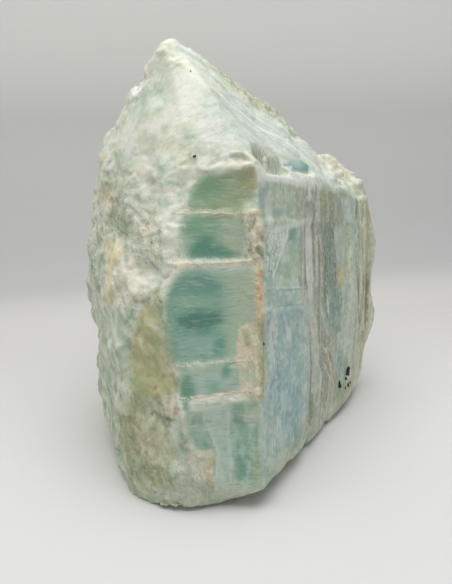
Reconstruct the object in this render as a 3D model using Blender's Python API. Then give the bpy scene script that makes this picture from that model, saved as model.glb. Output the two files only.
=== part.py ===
"""A block of rough aquamarine, the sea-green beryl, broken from a larger crystal.

The block stands on a flat break. Its long axis, the crystal's own axis, leans back. The right side keeps the
crystal's grooved prism face, the front shows glassy blocks parted by level fractures, the top is one oblique
break that rises to a point, and the rest is rough. Sizes are in millimetres, in a frame with +X to the right
of the front, +Y to the back, +Z up and the origin under the middle of the block.
"""

import bmesh
import bpy
from mathutils import Vector, noise

MM = 0.001
NAME = "aquamarine_crystal"

# How finely the block is built, and how many triangles it keeps.
VOXEL = 1.3
KEPT_TRIANGLES = 9400
BELOW_BASE = -2.0  # the block is built this far down, then cut off flat at zero

# The front ridge, where the prism face meets the front. The crystal's own axis runs along it.
RIDGE_FOOT = Vector((6, -57, 8))
RIDGE_HEAD = Vector((4, -24, 117))

# The corners of the block, from the point at its top down to the break that it stands on.
CROWN = {
    "point_left": (-30, 0, 157),
    "point": (-26, 3, 158.5),
    "point_right": (-22, 8, 155),
    "brow_left": (-41, -15, 115),
    "brow": (-16, -27, 114),
    "ridge_head": tuple(RIDGE_HEAD),
}
LEFT_FLANK = {
    "shoulder": (-45, 10, 137.5),
    "upper": (-56.5, 15, 118),
    "middle": (-60.5, 12, 91),
    "bulge": (-64, 5, 66),
    "lower": (-60, -5, 23),
    "heel": (-52.5, -21, 7),
    "toe": (-43.5, -44, BELOW_BASE),
    "toe_front": (-38, -53, BELOW_BASE),
    "cheek": (-48, -30, 74),
    "jowl": (-43, -45, 33),
}
FRONT = {
    "panel_left": (-28, -42.5, 74),
    "panel_foot": (-20, -59, 18),
    "foot_left": (-29, -58.5, BELOW_BASE),
    "foot_right": (-18, -60, BELOW_BASE),
    "ridge_foot": tuple(RIDGE_FOOT),
    "under_ridge": (0, -51, BELOW_BASE),
}
PRISM_FACE = {
    "far_foot": (49, 21, 5),
    "under_far_foot": (43, 20, BELOW_BASE),
    "far_edge_foot": (56, 38, 10),
    "far_edge_low": (59, 45, 35),
    "far_edge_high": (60.5, 50, 72),
    "far_edge_head": (58, 50, 85),
}
BACK = {
    "rim_top": (-13, 20, 148),
    "rim_middle": (13, 44, 127.5),
    "rim_end": (35, 54, 108),
    "behind_rim_end": (34, 59, 95),
    "behind_rim": (2, 57, 108),
    "back_left_high": (-28, 48, 118),
    "back_left": (-50, 38, 90),
    "back_left_low": (-56, 30, 40),
    "back_low": (10, 57.5, 40),
    "back_right_low": (48, 54, 30),
    "base_back_right": (42, 46, BELOW_BASE),
    "base_back": (0, 50, BELOW_BASE),
    "base_back_left": (-42, 34, BELOW_BASE),
    "base_left": (-49, -10, BELOW_BASE),
}

# A second block, fused to the first, that stands up at the far end of the prism face.
SHOULDER_BLOCK = (
    (39, 54, 106),
    (46.5, 54, 102.5),
    (53, 53, 99),
    (57, 51, 91.5),
    (58, 50, 84),
    (34, 51, 100),
    (32, 57, 99),
    (46, 58.5, 92),
    (45, 42, 84),
    (32, 44, 86),
    (50, 57, 74),
    (36, 56, 74),
)

# Lumps and dents, each a centre, a radius and a height: above zero is a lump, and below is a dent.
BUMPS = {
    "lump_on_far_edge": ((60, 46, 32), 8, 3.6),
    "knob_on_shoulder": ((40, 53, 105), 5, 1.2),
    "hollow_by_shoulder": ((30, 50, 110), 7, -2.0),
    "notch_on_left": ((-60, 2, 43), 7, -4.2),
    "chip_under_bulge": ((-62, 4, 52), 5, -1.2),
    "dip_under_point": ((-33, -8, 141), 10, -1.2),
    "chip_on_left_shoulder": ((-49, 12, 129), 7, -2.0),
    "fold_on_cheek": ((-53, -18, 92), 7, -1.8),
    "pit_on_cheek": ((-47, -31, 92), 5, -1.6),
    "hollow_on_jowl": ((-36, -48, 48), 11, -1.8),
    "scoop_at_toe": ((-46, -40, 14), 10, 1.2),
    "scallop_under_front": ((-10, -60, 0), 6, -2.2),
    "dip_on_top": ((5, 12, 130), 12, -1.6),
    "ledge_on_back": ((-20, 54, 70), 20, -6.0),
    "hollow_on_back": ((26, 60, 60), 16, -5.0),
    "lump_on_back": ((2, 58, 34), 14, 3.0),
    "hollow_on_left_back": ((-54, 34, 62), 15, -5.0),
}

# Pockets, cut as boxes: a place along and up the prism face, the size each way, and how deep it goes.
POCKETS = {
    "rough_pocket": ((9.5, 117), (11, 10), 5.0),
    "glassy_pocket": ((27, 119), (15, 8), 3.5),
}

# The long slabs and grooves of the prism face: where each starts, along from the ridge, and its height.
PRISM_SLABS = (
    (-9, 0.6),
    (8, 0.2),
    (36, -1.3),
    (44, 0.3),
    (51, -1.5),
    (56, -0.6),
    (63, -1.0),
    (74, 0.7),
    (92, -0.2),
    (97, 0.9),
    (104, -0.9),
    (110, 0.5),
    (117, -0.3),
)
# Short ledges across the face near the ridge: a height up the axis, and how far out it stands below that.
PRISM_LEDGES = ((94.5, 0.3), (69.5, 0.3), (62.5, 0.4))
SLAB_END = 94.5  # above this the slabs run into one smooth shoulder

# The level fractures across the front: a height up the axis, and how far out the block below it stands.
PANEL_LEDGES = ((97.2, 0.8), (80.0, 1.2), (44.8, 0.8), (32.8, 1.0))
PANEL_WIDTH = 30.0
PANEL_TOP = 111.0
PANEL_BOTTOM = 26.0
PANEL_DEPTH = 1.7
RIDGE_CRUST_WIDTH = 6.0
RIDGE_CRUST_HEIGHT = 1.0

# Rough breaks: the size of their chips, and how much they stand out.
BIG_CHIP, BIG_CHIP_HEIGHT = 21.0, 2.6
SMALL_CHIP, SMALL_CHIP_HEIGHT = 7.0, 1.3

STONE_COLOUR = (0.47, 0.62, 0.54, 1.0)
STONE_ROUGHNESS = 0.55


class Face:
    """A flat side of the crystal, measured from the foot of the ridge: run goes level, and axis goes up."""

    def __init__(self, far_point, outward):
        self.axis = (RIDGE_HEAD - RIDGE_FOOT).normalized()
        self.normal = self.axis.cross(Vector(far_point) - RIDGE_FOOT).normalized()
        if self.normal.dot(Vector(outward)) < 0:
            self.normal.negate()
        self.run = self.axis.cross(self.normal)
        if self.run.dot(Vector(far_point) - RIDGE_FOOT) < 0:
            self.run.negate()

    def measure(self, point):
        """How far along the run and up the axis a point is."""
        offset = point - RIDGE_FOOT
        return offset.dot(self.run), offset.dot(self.axis)

    def place(self, along, up, out):
        return RIDGE_FOOT + self.run * along + self.axis * up + self.normal * out

    def share(self, normal):
        """One where a surface faces the same way as this side, falling to zero as it turns away."""
        return ramp(0.80, 0.95, normal.dot(self.normal))


def ramp(low, high, value):
    """Zero below low, one above high, and a smooth rise between them."""
    part = min(max((value - low) / (high - low), 0.0), 1.0)
    return part * part * (3 - 2 * part)


PRISM = Face(far_point=(54, 50, 60), outward=(1, 0, 0))
PANEL = Face(far_point=FRONT["panel_left"], outward=(0, -1, 0))


def clear_scene():
    for old in list(bpy.data.objects):
        bpy.data.objects.remove(old, do_unlink=True)


def link(name, mesh):
    thing = bpy.data.objects.new(name, mesh)
    bpy.context.scene.collection.objects.link(thing)
    return thing


def hull_object(name, corners):
    """The convex block that just holds these corners, which are in millimetres."""
    shape = bmesh.new()
    for corner in corners:
        shape.verts.new(Vector(corner) * MM)
    made = bmesh.ops.convex_hull(shape, input=shape.verts)
    bmesh.ops.delete(shape, geom=made["geom_interior"], context="VERTS")
    bmesh.ops.recalc_face_normals(shape, faces=shape.faces)
    mesh = bpy.data.meshes.new(name)
    shape.to_mesh(mesh)
    shape.free()
    return link(name, mesh)


def pocket_corners(place, size, depth):
    """A box sunk into the shoulder of the prism face, square to that face."""
    (along, up), (length, height) = place, size
    for side in (-0.5, 0.5):
        for level in (-0.5, 0.5):
            for out in (-depth, 20.0):
                # The shoulder leans back, so the outer end of the box leans with it.
                lean = 0.6 * max(out, 0.0)
                yield PRISM.place(along + side * length, up + level * height + lean, out)


def combine(block, other, operation):
    step = block.modifiers.new(f"{operation.lower()} {other.name}", "BOOLEAN")
    step.object = other
    step.operation = operation
    step.solver = "EXACT"
    other.hide_render = True
    other.display_type = "WIRE"


def bake(thing):
    """Replaces a thing's mesh with what its modifiers make of it."""
    bpy.context.view_layer.update()
    graph = bpy.context.evaluated_depsgraph_get()
    old = thing.data
    thing.data = bpy.data.meshes.new_from_object(thing.evaluated_get(graph))
    thing.modifiers.clear()
    bpy.data.meshes.remove(old)


def raw_block():
    corners = [
        corner
        for group in (CROWN, LEFT_FLANK, FRONT, PRISM_FACE, BACK)
        for corner in group.values()
    ]
    block = hull_object(NAME, corners)
    shoulder = hull_object("shoulder_block", SHOULDER_BLOCK)
    combine(block, shoulder, "UNION")
    helpers = [shoulder]
    for name, (place, size, depth) in POCKETS.items():
        pocket = hull_object(name, pocket_corners(place, size, depth))
        combine(block, pocket, "DIFFERENCE")
        helpers.append(pocket)
    remesh = block.modifiers.new("even mesh", "REMESH")
    remesh.mode = "VOXEL"
    remesh.voxel_size = VOXEL * MM
    # Broken edges are a little blunt.
    blunt = block.modifiers.new("blunt edges", "SMOOTH")
    blunt.factor = 0.5
    blunt.iterations = 3
    bake(block)
    for helper in helpers:
        bpy.data.objects.remove(helper, do_unlink=True)
    return block


def prism_relief(point):
    """How far the prism face's slabs stand out, or its grooves go in."""
    along, up = PRISM.measure(point)
    along += 1.6 * noise.noise(Vector((along * 0.05, up * 0.035, 3.0)))
    height = 0.0
    previous = 0.0
    for start, level in PRISM_SLABS:
        height += (level - previous) * ramp(start - 0.9, start + 0.9, along)
        previous = level
    height *= 1 - 0.75 * ramp(SLAB_END - 1, SLAB_END + 1, up) * ramp(110, 100, along)
    near_ridge = ramp(38, 34, along)
    for level, step in PRISM_LEDGES:
        wave = 2.0 * noise.noise(Vector((along * 0.12, level, 0.0)))
        height += step * near_ridge * ramp(level + 0.8, level - 0.8, up + wave)
    ribs = 0.35 * noise.noise(Vector((along * 0.55, up * 0.02, 8.0)))
    return height + ribs - 0.5


def panel_relief(point):
    """The front: glassy windows sunk a little behind their rim, and blocks that step out at each fracture."""
    across, up = PANEL.measure(point)
    edge = PANEL_WIDTH + 3.0 * noise.noise(Vector((up * 0.06, 5.0, 0.0)))
    inside = ramp(edge + 2, edge - 2, across) * ramp(PANEL_TOP + 1.5, PANEL_TOP - 1.5, up)
    inside *= ramp(PANEL_BOTTOM - 3, PANEL_BOTTOM + 3, up)
    crust = ramp(RIDGE_CRUST_WIDTH + 1.5, RIDGE_CRUST_WIDTH - 1.5, across) * ramp(103, 96, up)
    height = RIDGE_CRUST_HEIGHT * crust
    steps = -PANEL_DEPTH
    for level, step in PANEL_LEDGES:
        slope = 0.02 * across
        steps += step * ramp(level + slope + 0.8, level + slope - 0.8, up)
    return height + steps * inside * (1 - 0.7 * crust)


def rough_relief(point):
    """Broken stone: big and small chips with flat sides between them, and a fine unevenness over all."""
    big = noise.voronoi(point / BIG_CHIP)[0]
    small = noise.voronoi(point / SMALL_CHIP + Vector((7, 3, 5)))[0]
    height = BIG_CHIP_HEIGHT * (big[1] - big[0] - 0.2)
    height += SMALL_CHIP_HEIGHT * (0.35 - small[0])
    height += 0.8 * noise.fractal(point * 0.11, 0.8, 2.2, 4)
    return height


def bump_height(point):
    height = 0.0
    for centre, radius, level in BUMPS.values():
        gap = (point - Vector(centre)).length / radius
        if gap < 2:
            height += level * ramp(2.0, 0.0, gap)
    return height


def relief(point, normal):
    """How far the surface moves out along its normal at a point, all in millimetres."""
    prism = PRISM.share(normal)
    along, up = PRISM.measure(point)
    panel = PANEL.share(normal)
    across = PANEL.measure(point)[0]
    panel *= ramp(PANEL_WIDTH + 9, PANEL_WIDTH + 3, across)
    rough = (1 - 0.9 * prism) * (1 - 0.9 * panel)
    # The upper front and the top break are smoother than the flanks and the back.
    smooth_brow = ramp(112, 125, point.z) * ramp(-0.5, 0.1, normal.z)
    rough *= 1 - 0.45 * smooth_brow
    height = prism * prism_relief(point)
    height += panel * panel_relief(point)
    height += rough * rough_relief(point)
    height += bump_height(point)
    # The face that it stands on is left flat.
    return height * ramp(-0.9, -0.6, normal.z)


def carve(block):
    block.data.update()
    moves = []
    for vert in block.data.vertices:
        point = vert.co / MM
        moves.append(vert.normal * (relief(point, vert.normal) * MM))
    for vert, move in zip(block.data.vertices, moves):
        vert.co += move


def thin_out(block):
    """Keeps triangles where the form turns, and drops them where it is flat."""
    triangles = sum(len(face.vertices) - 2 for face in block.data.polygons)
    step = block.modifiers.new("fewer triangles", "DECIMATE")
    step.ratio = KEPT_TRIANGLES / triangles
    bake(block)


def cut_base(block):
    """Cuts the block off level, so that it stands on one flat face."""
    shape = bmesh.new()
    shape.from_mesh(block.data)
    parts = shape.verts[:] + shape.edges[:] + shape.faces[:]
    bmesh.ops.bisect_plane(
        shape, geom=parts, plane_co=(0, 0, 0), plane_no=(0, 0, -1), clear_outer=True
    )
    rim = [edge for edge in shape.edges if edge.is_boundary]
    bmesh.ops.contextual_create(shape, geom=rim)
    bmesh.ops.triangulate(shape, faces=shape.faces[:])
    bmesh.ops.recalc_face_normals(shape, faces=shape.faces)
    shape.to_mesh(block.data)
    shape.free()


def stone_material():
    material = bpy.data.materials.new("pale sea-green beryl")
    material.use_nodes = True
    shader = material.node_tree.nodes["Principled BSDF"]
    shader.inputs["Base Color"].default_value = STONE_COLOUR
    shader.inputs["Roughness"].default_value = STONE_ROUGHNESS
    shader.inputs["Metallic"].default_value = 0.0
    return material


def build():
    clear_scene()
    block = raw_block()
    carve(block)
    thin_out(block)
    cut_base(block)
    block.data.materials.clear()
    block.data.materials.append(stone_material())
    block.data.shade_smooth()
    block.data.set_sharp_from_angle(angle=0.5)


build()
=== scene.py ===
# %% [markdown]
# # A block of rough aquamarine
#
# Aquamarine is the sea-green to blue beryl. This block broke from a larger crystal. One side still shows the
# crystal's own grooved prism face, the front shows glassy blocks parted by level fractures, the top is one
# oblique break, and the rest is rough.
#
# The solid model already has the block's form, so it is loaded first, as a frame that never moves. The fine
# relief, the colours and the light are added here, in the same place and at the same size.

# %% Load the solid model
import math

import bmesh
import bpy
import numpy as np
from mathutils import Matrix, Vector, noise


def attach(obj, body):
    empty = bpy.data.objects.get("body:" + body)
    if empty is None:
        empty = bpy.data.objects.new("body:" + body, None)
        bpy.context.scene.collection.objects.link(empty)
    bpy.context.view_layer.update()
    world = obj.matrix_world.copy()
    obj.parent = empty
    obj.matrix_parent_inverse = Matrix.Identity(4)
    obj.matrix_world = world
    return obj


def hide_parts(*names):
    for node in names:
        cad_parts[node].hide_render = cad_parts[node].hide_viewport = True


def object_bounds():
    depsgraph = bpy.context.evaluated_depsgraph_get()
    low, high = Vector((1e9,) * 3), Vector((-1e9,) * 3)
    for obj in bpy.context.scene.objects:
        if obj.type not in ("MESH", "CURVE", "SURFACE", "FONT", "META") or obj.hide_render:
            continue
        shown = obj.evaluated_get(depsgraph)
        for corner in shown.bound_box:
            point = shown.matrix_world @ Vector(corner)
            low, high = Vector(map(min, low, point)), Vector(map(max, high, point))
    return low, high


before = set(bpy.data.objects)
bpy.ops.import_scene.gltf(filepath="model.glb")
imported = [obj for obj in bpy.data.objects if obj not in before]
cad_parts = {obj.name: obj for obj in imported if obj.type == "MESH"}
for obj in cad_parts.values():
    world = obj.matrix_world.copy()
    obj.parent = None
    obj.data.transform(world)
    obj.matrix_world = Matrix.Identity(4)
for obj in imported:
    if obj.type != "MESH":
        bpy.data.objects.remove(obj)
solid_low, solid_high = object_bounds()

MM = 0.001
NODE = "aquamarine_crystal"
print("solid box in mm:", [round(side / MM, 1) for side in solid_high - solid_low])

# %% [markdown]
# ## The stone's own measures
#
# A crystal has an axis, and its faces, grooves and fractures all keep to it. So places on the block are not
# given in X, Y and Z but from the foot of the front ridge: so many millimetres along a face, and so many up
# the axis. A small class turns world points into those measures, and the shader uses the same two
# directions later, so paint and relief land in the same places.

# %% Measure along the faces and up the axis
RIDGE_FOOT = np.array((6.0, -57.0, 8.0))
RIDGE_HEAD = np.array((4.0, -24.0, 117.0))
AXIS = (RIDGE_HEAD - RIDGE_FOOT) / np.linalg.norm(RIDGE_HEAD - RIDGE_FOOT)


def unit(vector):
    return vector / np.linalg.norm(vector)


class Face:
    """A flat side of the crystal: run goes level, away from the ridge, and normal points out of the stone."""

    def __init__(self, far_point, outward):
        away = np.array(far_point, float) - RIDGE_FOOT
        normal = unit(np.cross(AXIS, away))
        self.normal = normal if normal @ np.array(outward) > 0 else -normal
        run = np.cross(AXIS, self.normal)
        self.run = run if run @ away > 0 else -run

    def measure(self, points):
        """Along the run and up the axis, in millimetres, for each row of points."""
        away = points - RIDGE_FOOT
        return away @ self.run, away @ AXIS

    def place(self, along, up, out=0.0):
        return RIDGE_FOOT + self.run * along + AXIS * up + self.normal * out


PRISM = Face(far_point=(54, 50, 60), outward=(1, 0, 0))
PANEL = Face(far_point=(-28, -42.5, 74), outward=(0, -1, 0))
print("prism face looks towards", PRISM.normal.round(2), "and the front towards", PANEL.normal.round(2))

# %% [markdown]
# ## A fine copy of the block
#
# The solid has about ten thousand triangles, enough for its form and not for its surface. A copy of its mesh
# is welded and remeshed with small even quads, which can take relief anywhere. Subdividing the triangles
# would keep their long thin shapes, so a voxel remesh is the better start. A little smoothing takes the
# triangles' flat look away.

# %% Helpers for objects and meshes
VOXEL = 0.83
SMOOTHING_ROUNDS = 3
CUT_CLEARANCE = 8.0
POCKETS = {
    # name: (along the prism face, up the axis, depth), from and to
    "fibrous pocket": ((6, 26), (111.2, 130), 3.6),
    "glassy pocket": ((27.5, 47), (113.2, 124), 1.9),
}


def link_object(name, data):
    thing = bpy.data.objects.new(name, data)
    bpy.context.scene.collection.objects.link(thing)
    return thing


def bake(thing):
    """Turns a thing and its modifiers into one plain mesh."""
    bpy.context.view_layer.update()
    graph = bpy.context.evaluated_depsgraph_get()
    thing.data = bpy.data.meshes.new_from_object(thing.evaluated_get(graph))
    thing.modifiers.clear()


def welded_copy(node, name):
    mesh = node.data.copy()
    mesh.materials.clear()
    shape = bmesh.new()
    shape.from_mesh(mesh)
    bmesh.ops.remove_doubles(shape, verts=shape.verts, dist=0.001 * MM)
    bmesh.ops.recalc_face_normals(shape, faces=shape.faces)
    shape.to_mesh(mesh)
    shape.free()
    return link_object(name, mesh)


def cutter(along, up, depth):
    """A box laid to the prism face: from along[0] to along[1], from up[0] to up[1], and this deep."""
    made = link_object("cutter", bpy.data.meshes.new("cutter"))
    box = bmesh.new()
    bmesh.ops.create_cube(box, size=1.0)
    for corner in box.verts:
        side, height, out = corner.co
        spot = (along[side > 0], up[height > 0], CUT_CLEARANCE if out > 0 else -depth)
        corner.co = Vector(PRISM.place(*spot)) * MM
    bmesh.ops.recalc_face_normals(box, faces=box.faces)
    box.to_mesh(made.data)
    box.free()
    return made

# %% Copy the block and cut its pockets
block = welded_copy(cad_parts[NODE], "aquamarine_block")
for along, up, depth in POCKETS.values():
    box = cutter(along, up, depth)
    cut = block.modifiers.new("pocket", "BOOLEAN")
    cut.operation = "DIFFERENCE"
    cut.solver = "EXACT"
    cut.object = box
    bake(block)
    bpy.data.objects.remove(box)

# %% Remesh it with even quads
remesh = block.modifiers.new("even quads", "REMESH")
remesh.mode = "VOXEL"
remesh.voxel_size = VOXEL * MM
smooth = block.modifiers.new("soften", "SMOOTH")
smooth.factor = 0.5
smooth.iterations = SMOOTHING_ROUNDS
bake(block)
print("fine copy:", len(block.data.vertices), "points")

# %% [markdown]
# ## Points and normals as arrays
#
# Relief and colour are worked out for all points at once with numpy, which is far quicker than a loop over
# them. Only the noise comes from mathutils, point by point. Plain noise makes round clouds, but broken beryl
# is streaky, so a second kind is drawn out along one direction and bent a little on the way.

# %% Read the points and make noise over them
POINTS = np.empty(len(block.data.vertices) * 3, np.float32)
block.data.vertices.foreach_get("co", POINTS)
POINTS = POINTS.reshape(-1, 3).astype(float) / MM
NORMALS = np.array([vert.normal for vert in block.data.vertices])


def ramp(low, high, values):
    """Zero below low, one above high, and a smooth rise between. With low above high it falls instead."""
    part = np.clip((values - low) / (high - low), 0.0, 1.0)
    return part * part * (3 - 2 * part)


def noise_at(places, seed):
    """Smooth noise from about -1 to 1 at each row of places, which are already scaled."""
    return np.array([noise.noise(Vector((x + seed, y, z))) for x, y, z in places])


def flat_noise(first, second, seed):
    """Noise over two measures that are already scaled."""
    return noise_at(np.stack((first, second, 0 * first), axis=1), seed)


def drift(size, seed):
    """Round noise over the block, whose lumps are about size millimetres across."""
    return noise_at(POINTS / size, seed)

# %% Noise that every edge and stain shares
WOBBLE = drift(9.0, 11.3) * 2.2 + drift(3.2, 4.7) * 0.9 + drift(1.6, 14.7) * 0.6
WOBBLE_2 = drift(8.0, 31.3) * 2.2 + drift(3.0, 24.7) * 0.9 + drift(1.5, 34.7) * 0.6
BEND = np.stack((drift(21.0, 41.0), drift(19.0, 51.0), drift(23.0, 61.0)), axis=1) * 9.0


def drawn_out(size, stretch, way, seed):
    """Noise whose lumps are size across and stretch times as long, along a way that bends."""
    bent = POINTS + BEND
    along_way = np.outer(bent @ unit(way), unit(way))
    return noise_at((bent - along_way) / size + along_way / (size * stretch), seed)


ALONG, PRISM_UP = PRISM.measure(POINTS)
ACROSS, PANEL_UP = PANEL.measure(POINTS)
print("wobble from", WOBBLE.min().round(2), "to", WOBBLE.max().round(2), "mm")

# %% [markdown]
# ## Outlines and courses
#
# Patches and cracks are given by a few corners each, measured on a face. One function tells how deep every
# point lies inside an outline, and another how far it is from a course of straight stretches. A little noise
# added to either makes the edge ragged, as a real one is.

# %% Measure to outlines and courses
ON_PRISM = (ALONG, PRISM_UP)
ON_FRONT = (ACROSS, PANEL_UP)
COURSE_WAVER = 0.25
END_FADE = 3.0


def stretches(first, second, start, end):
    """How far each point is from one straight stretch."""
    way = np.array(end, float) - start
    part = np.clip(((first - start[0]) * way[0] + (second - start[1]) * way[1]) / (way @ way), 0, 1)
    return np.hypot(first - start[0] - part * way[0], second - start[1] - part * way[1])


def from_course(measure, course):
    """How far each point is from a course through the places given."""
    first, second = measure[0] + COURSE_WAVER * WOBBLE, measure[1] + COURSE_WAVER * WOBBLE_2
    return np.min([stretches(first, second, a, b) for a, b in zip(course[:-1], course[1:])], axis=0)


def offset_from(measure, course):
    """How far each point is to one side of a course that mostly runs one way, and more past its ends."""
    aside, way = measure
    places = np.array(course, float)
    if np.ptp(places[:, 0]) > np.ptp(places[:, 1]):
        aside, way, places = way, aside, places[:, ::-1]
    places = places[np.argsort(places[:, 1])]
    offset = aside - np.interp(way, places[:, 1], places[:, 0])
    past = np.maximum(places[0, 1] - way, way - places[-1, 1])
    return offset + np.sign(offset) * END_FADE * ramp(0.0, END_FADE, past)

# %% Tell inside from outside
def depth_in(measure, corners):
    """How deep each point is inside an outline, and below zero outside it."""
    first, second = measure
    inside = np.zeros(len(first), bool)
    nearest = np.full(len(first), 1e9)
    for start, end in zip(corners, corners[1:] + corners[:1]):
        nearest = np.minimum(nearest, stretches(first, second, start, end))
        if start[1] != end[1]:
            side = start[0] + (second - start[1]) * (end[0] - start[0]) / (end[1] - start[1])
            inside ^= ((start[1] > second) != (end[1] > second)) & (first < side)
    return np.where(inside, nearest, -nearest)


def patch(measure, corners, soft, ragged=0.4):
    """One inside an outline, with an edge this soft and this ragged."""
    return ramp(-soft, soft, depth_in(measure, corners) + ragged * WOBBLE)

# %% [markdown]
# ## Which surface is which
#
# The prism face and the front are told apart by the way they look. On the front, five glassy blocks lie
# between level fractures, and rough stone surrounds them. Each surface gets a mask from zero to one, and
# what none claims is rough break.

# %% Masks for the kinds of surface
GLASSY_BLOCKS = {
    "first": ((23, 98), (22.5, 105), (19, 110), (9, 112), (1, 113), (1, 97.5)),
    "second": ((26, 97), (26.5, 91), (26, 81), (4.5, 81), (4, 91), (2, 97)),
    "third": ((28, 79.5), (31.5, 75), (34, 67), (34, 59), (32.5, 50), (31, 45.5), (2, 46.5), (0.5, 60),
        (3, 79)),
    "fourth": ((29.5, 44.5), (28.5, 34), (3, 36), (3, 45.5)),
    "foot": ((27, 32), (26.5, 20), (23, 16), (17.5, 14), (16, 4), (12, 0), (3, -2), (0, 10), (1, 34)),
}

PRISM_TOP = 112.5
TOP_START = 100
FRONT_WAY = unit(np.array((-0.30, -0.90, 0.30)))

facing_prism = ramp(0.70, 0.88, NORMALS @ PRISM.normal)
facing_panel = ramp(0.62, 0.86, NORMALS @ PANEL.normal)
facing_front = ramp(0.05, 0.35, NORMALS @ FRONT_WAY)
prism = facing_prism * ramp(PRISM_TOP + 3.5, PRISM_TOP - 3.5, PRISM_UP + 0.5 * WOBBLE)
panel = facing_panel * ramp(-3, 0, ACROSS) * (1 - facing_prism)
window = panel * np.max([patch(ON_FRONT, corners, 2.2, 0.5) for corners in GLASSY_BLOCKS.values()], axis=0)
rough = np.clip(1 - prism - window, 0, 1)
top_break = ramp(0.35, 0.6, NORMALS[:, 2]) * ramp(TOP_START - 5, TOP_START + 5, POINTS[:, 2]) * (1 - panel)

# %% [markdown]
# ## The grooved prism face
#
# Beryl grows with long grooves up its prism faces, and this one is parted into slabs that stand a little
# higher or lower. The solid has the slabs; here their edges are sharpened by narrow grooves. Each groove
# is a short list of places, along the face and up the axis, because real ones wander.

# %% Cut the grooves
GROOVES = {
    # name: (places, width, depth)
    "main crack": (((38, 108), (37, 103), (36, 93), (35.7, 87), (35.3, 80), (35, 74), (34.5, 68),
        (35, 62.5), (40, 56.5), (40.5, 46), (42, 34), (43.5, 14)), 0.8, 0.6),
    "second crack": (((45, 109), (42.5, 95), (43.5, 87), (43.5, 63), (44.5, 52), (46.5, 39), (52, 30),
        (57, 20)), 0.7, 0.3),
    "band edge": (((61, 95), (62, 85), (65.5, 76), (66.5, 66), (70, 52)), 0.6, 0.4),
    "slab edge": (((83, 104), (78, 92), (79.5, 75), (84, 66), (88, 53), (95, 42)), 0.7, 0.6),
    "far slab": (((90, 106), (85, 90), (89, 70), (94, 57)), 0.8, 0.7),
    "far slab 2": (((92, 104), (96, 84), (97, 58), (95.5, 40)), 0.9, 0.8),
    "far slab 3": (((106, 104), (105, 88), (104.5, 60), (103, 34)), 0.9, 0.8),
    "far slab 4": (((113, 100), (112, 88), (111, 60), (109, 40)), 0.6, 0.6),
    "fine groove": (((12, 104), (11, 60), (13, 12)), 0.6, 0.15),
    "fine groove 2": (((22, 94), (21, 50), (22.5, 10)), 0.6, 0.2),
    "fine groove 3": (((54, 62), (57, 44), (64, 26)), 0.6, 0.35),
    "fine groove 4": (((50, 58), (54, 45), (62, 24)), 0.6, 0.35),
}

RELIEF = np.zeros(len(POINTS))
for course, width, depth in GROOVES.values():
    RELIEF -= prism * depth * ramp(width, 0.2 * width, from_course(ON_PRISM, course))
print("grooves cut:", len(GROOVES))

# %% [markdown]
# ## Fractures across the slab by the ridge
#
# Beryl parts square to its axis. The slab next to the ridge is broken across in a few places, and the
# piece below each break stands a little further out. A break is a height, a slope and a step.

# %% Step the near slab
SLAB_BREAKS = {
    "under the shoulder": (95.0, 0.02, 0.35),
    "upper break": (70.3, -0.04, 0.35),
    "lower break": (63.0, 0.02, 0.55),
}
SLAB_WIDTH = 30.0
STEP_LENGTH = 12.0

near_slab = prism * ramp(SLAB_WIDTH + 0.8, SLAB_WIDTH - 0.8, ALONG)
for level, slope, step in SLAB_BREAKS.values():
    height = PRISM_UP - level - slope * ALONG + 0.4 * WOBBLE
    RELIEF += near_slab * step * (ramp(0.5, -0.5, height) - ramp(0.0, -STEP_LENGTH, height))

# %% [markdown]
# ## Fractures across the front
#
# The front is parted the same way. Each fracture shows as a cream lip, where the block below stands out,
# with a painted highlight along its top edge where light catches the ledge. The lips are raised here and
# painted by the material, which is finer than the mesh. It needs each point's height above each fracture,
# so that is kept too.

# %% Raise the lips
FRACTURES = {
    # name: (up the axis at the ridge, slope to the left, half thickness, height of the lip)
    "first": (97.0, 0.012, 0.2, 0.12),
    "second": (80.2, 0.006, 0.34, 0.25),
    "third": (46.3, -0.055, 0.18, 0.1),
    "fourth": (35.3, -0.055, 0.28, 0.15),
}
FRONT_REACH = 27.0
LOWER_REACH = 3.0

above = {}
reach = FRONT_REACH + LOWER_REACH * ramp(60, 50, PANEL_UP)
on_front = facing_panel * ramp(-0.5, 2.5, ACROSS) * ramp(5, 0, ACROSS - reach)
for name, (level, slope, half, lip) in FRACTURES.items():
    above[name] = PANEL_UP - level - slope * ACROSS - 0.16 * WOBBLE_2
    RELIEF += on_front * lip * ramp(half + 0.7, half, np.abs(above[name]))

# %% [markdown]
# ## The crust along the ridge
#
# The ridge between the two faces is coated with a thin, pitted crust of clay and iron-stained feldspar. Its
# outline is irregular and it thins out downwards. A coarse noise, cut off at a level, gives the lumps, and a
# second one pits them.

# %% Build up the crust
CRUST_OUTLINES = (
    ((-2, 99), (3.5, 98), (5.5, 95), (3.5, 90), (5, 84), (4, 79), (1.5, 75), (1, 60), (-2, 60)),
    ((-2, 60), (1.5, 60), (8, 58.5), (9.5, 52), (9, 45), (8, 34), (3, 31), (-2, 31)),
)
LUMP_HEIGHT = 0.8
THIN_LUMP_HEIGHT = 0.25
PIT_DEPTH = 0.6

on_ridge = np.clip(facing_panel + facing_prism, 0, 1) * ramp(-3.2, -1.6, -ALONG + 0.5 * WOBBLE)
crust = on_ridge * np.max([patch(ON_FRONT, corners, 0.7, 0.9) for corners in CRUST_OUTLINES], axis=0)
heavy_crust = crust * ramp(66, 76, PANEL_UP + WOBBLE)
lumps = ramp(-0.1, 0.35, drift(3.4, 51.0)) * 0.6 + ramp(0.0, 0.5, drift(1.9, 61.0)) * 0.4
pits = ramp(0.32, 0.5, drift(2.6, 71.0))
RELIEF += heavy_crust * (LUMP_HEIGHT * lumps - PIT_DEPTH * pits) + THIN_LUMP_HEIGHT * crust * lumps

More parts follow.
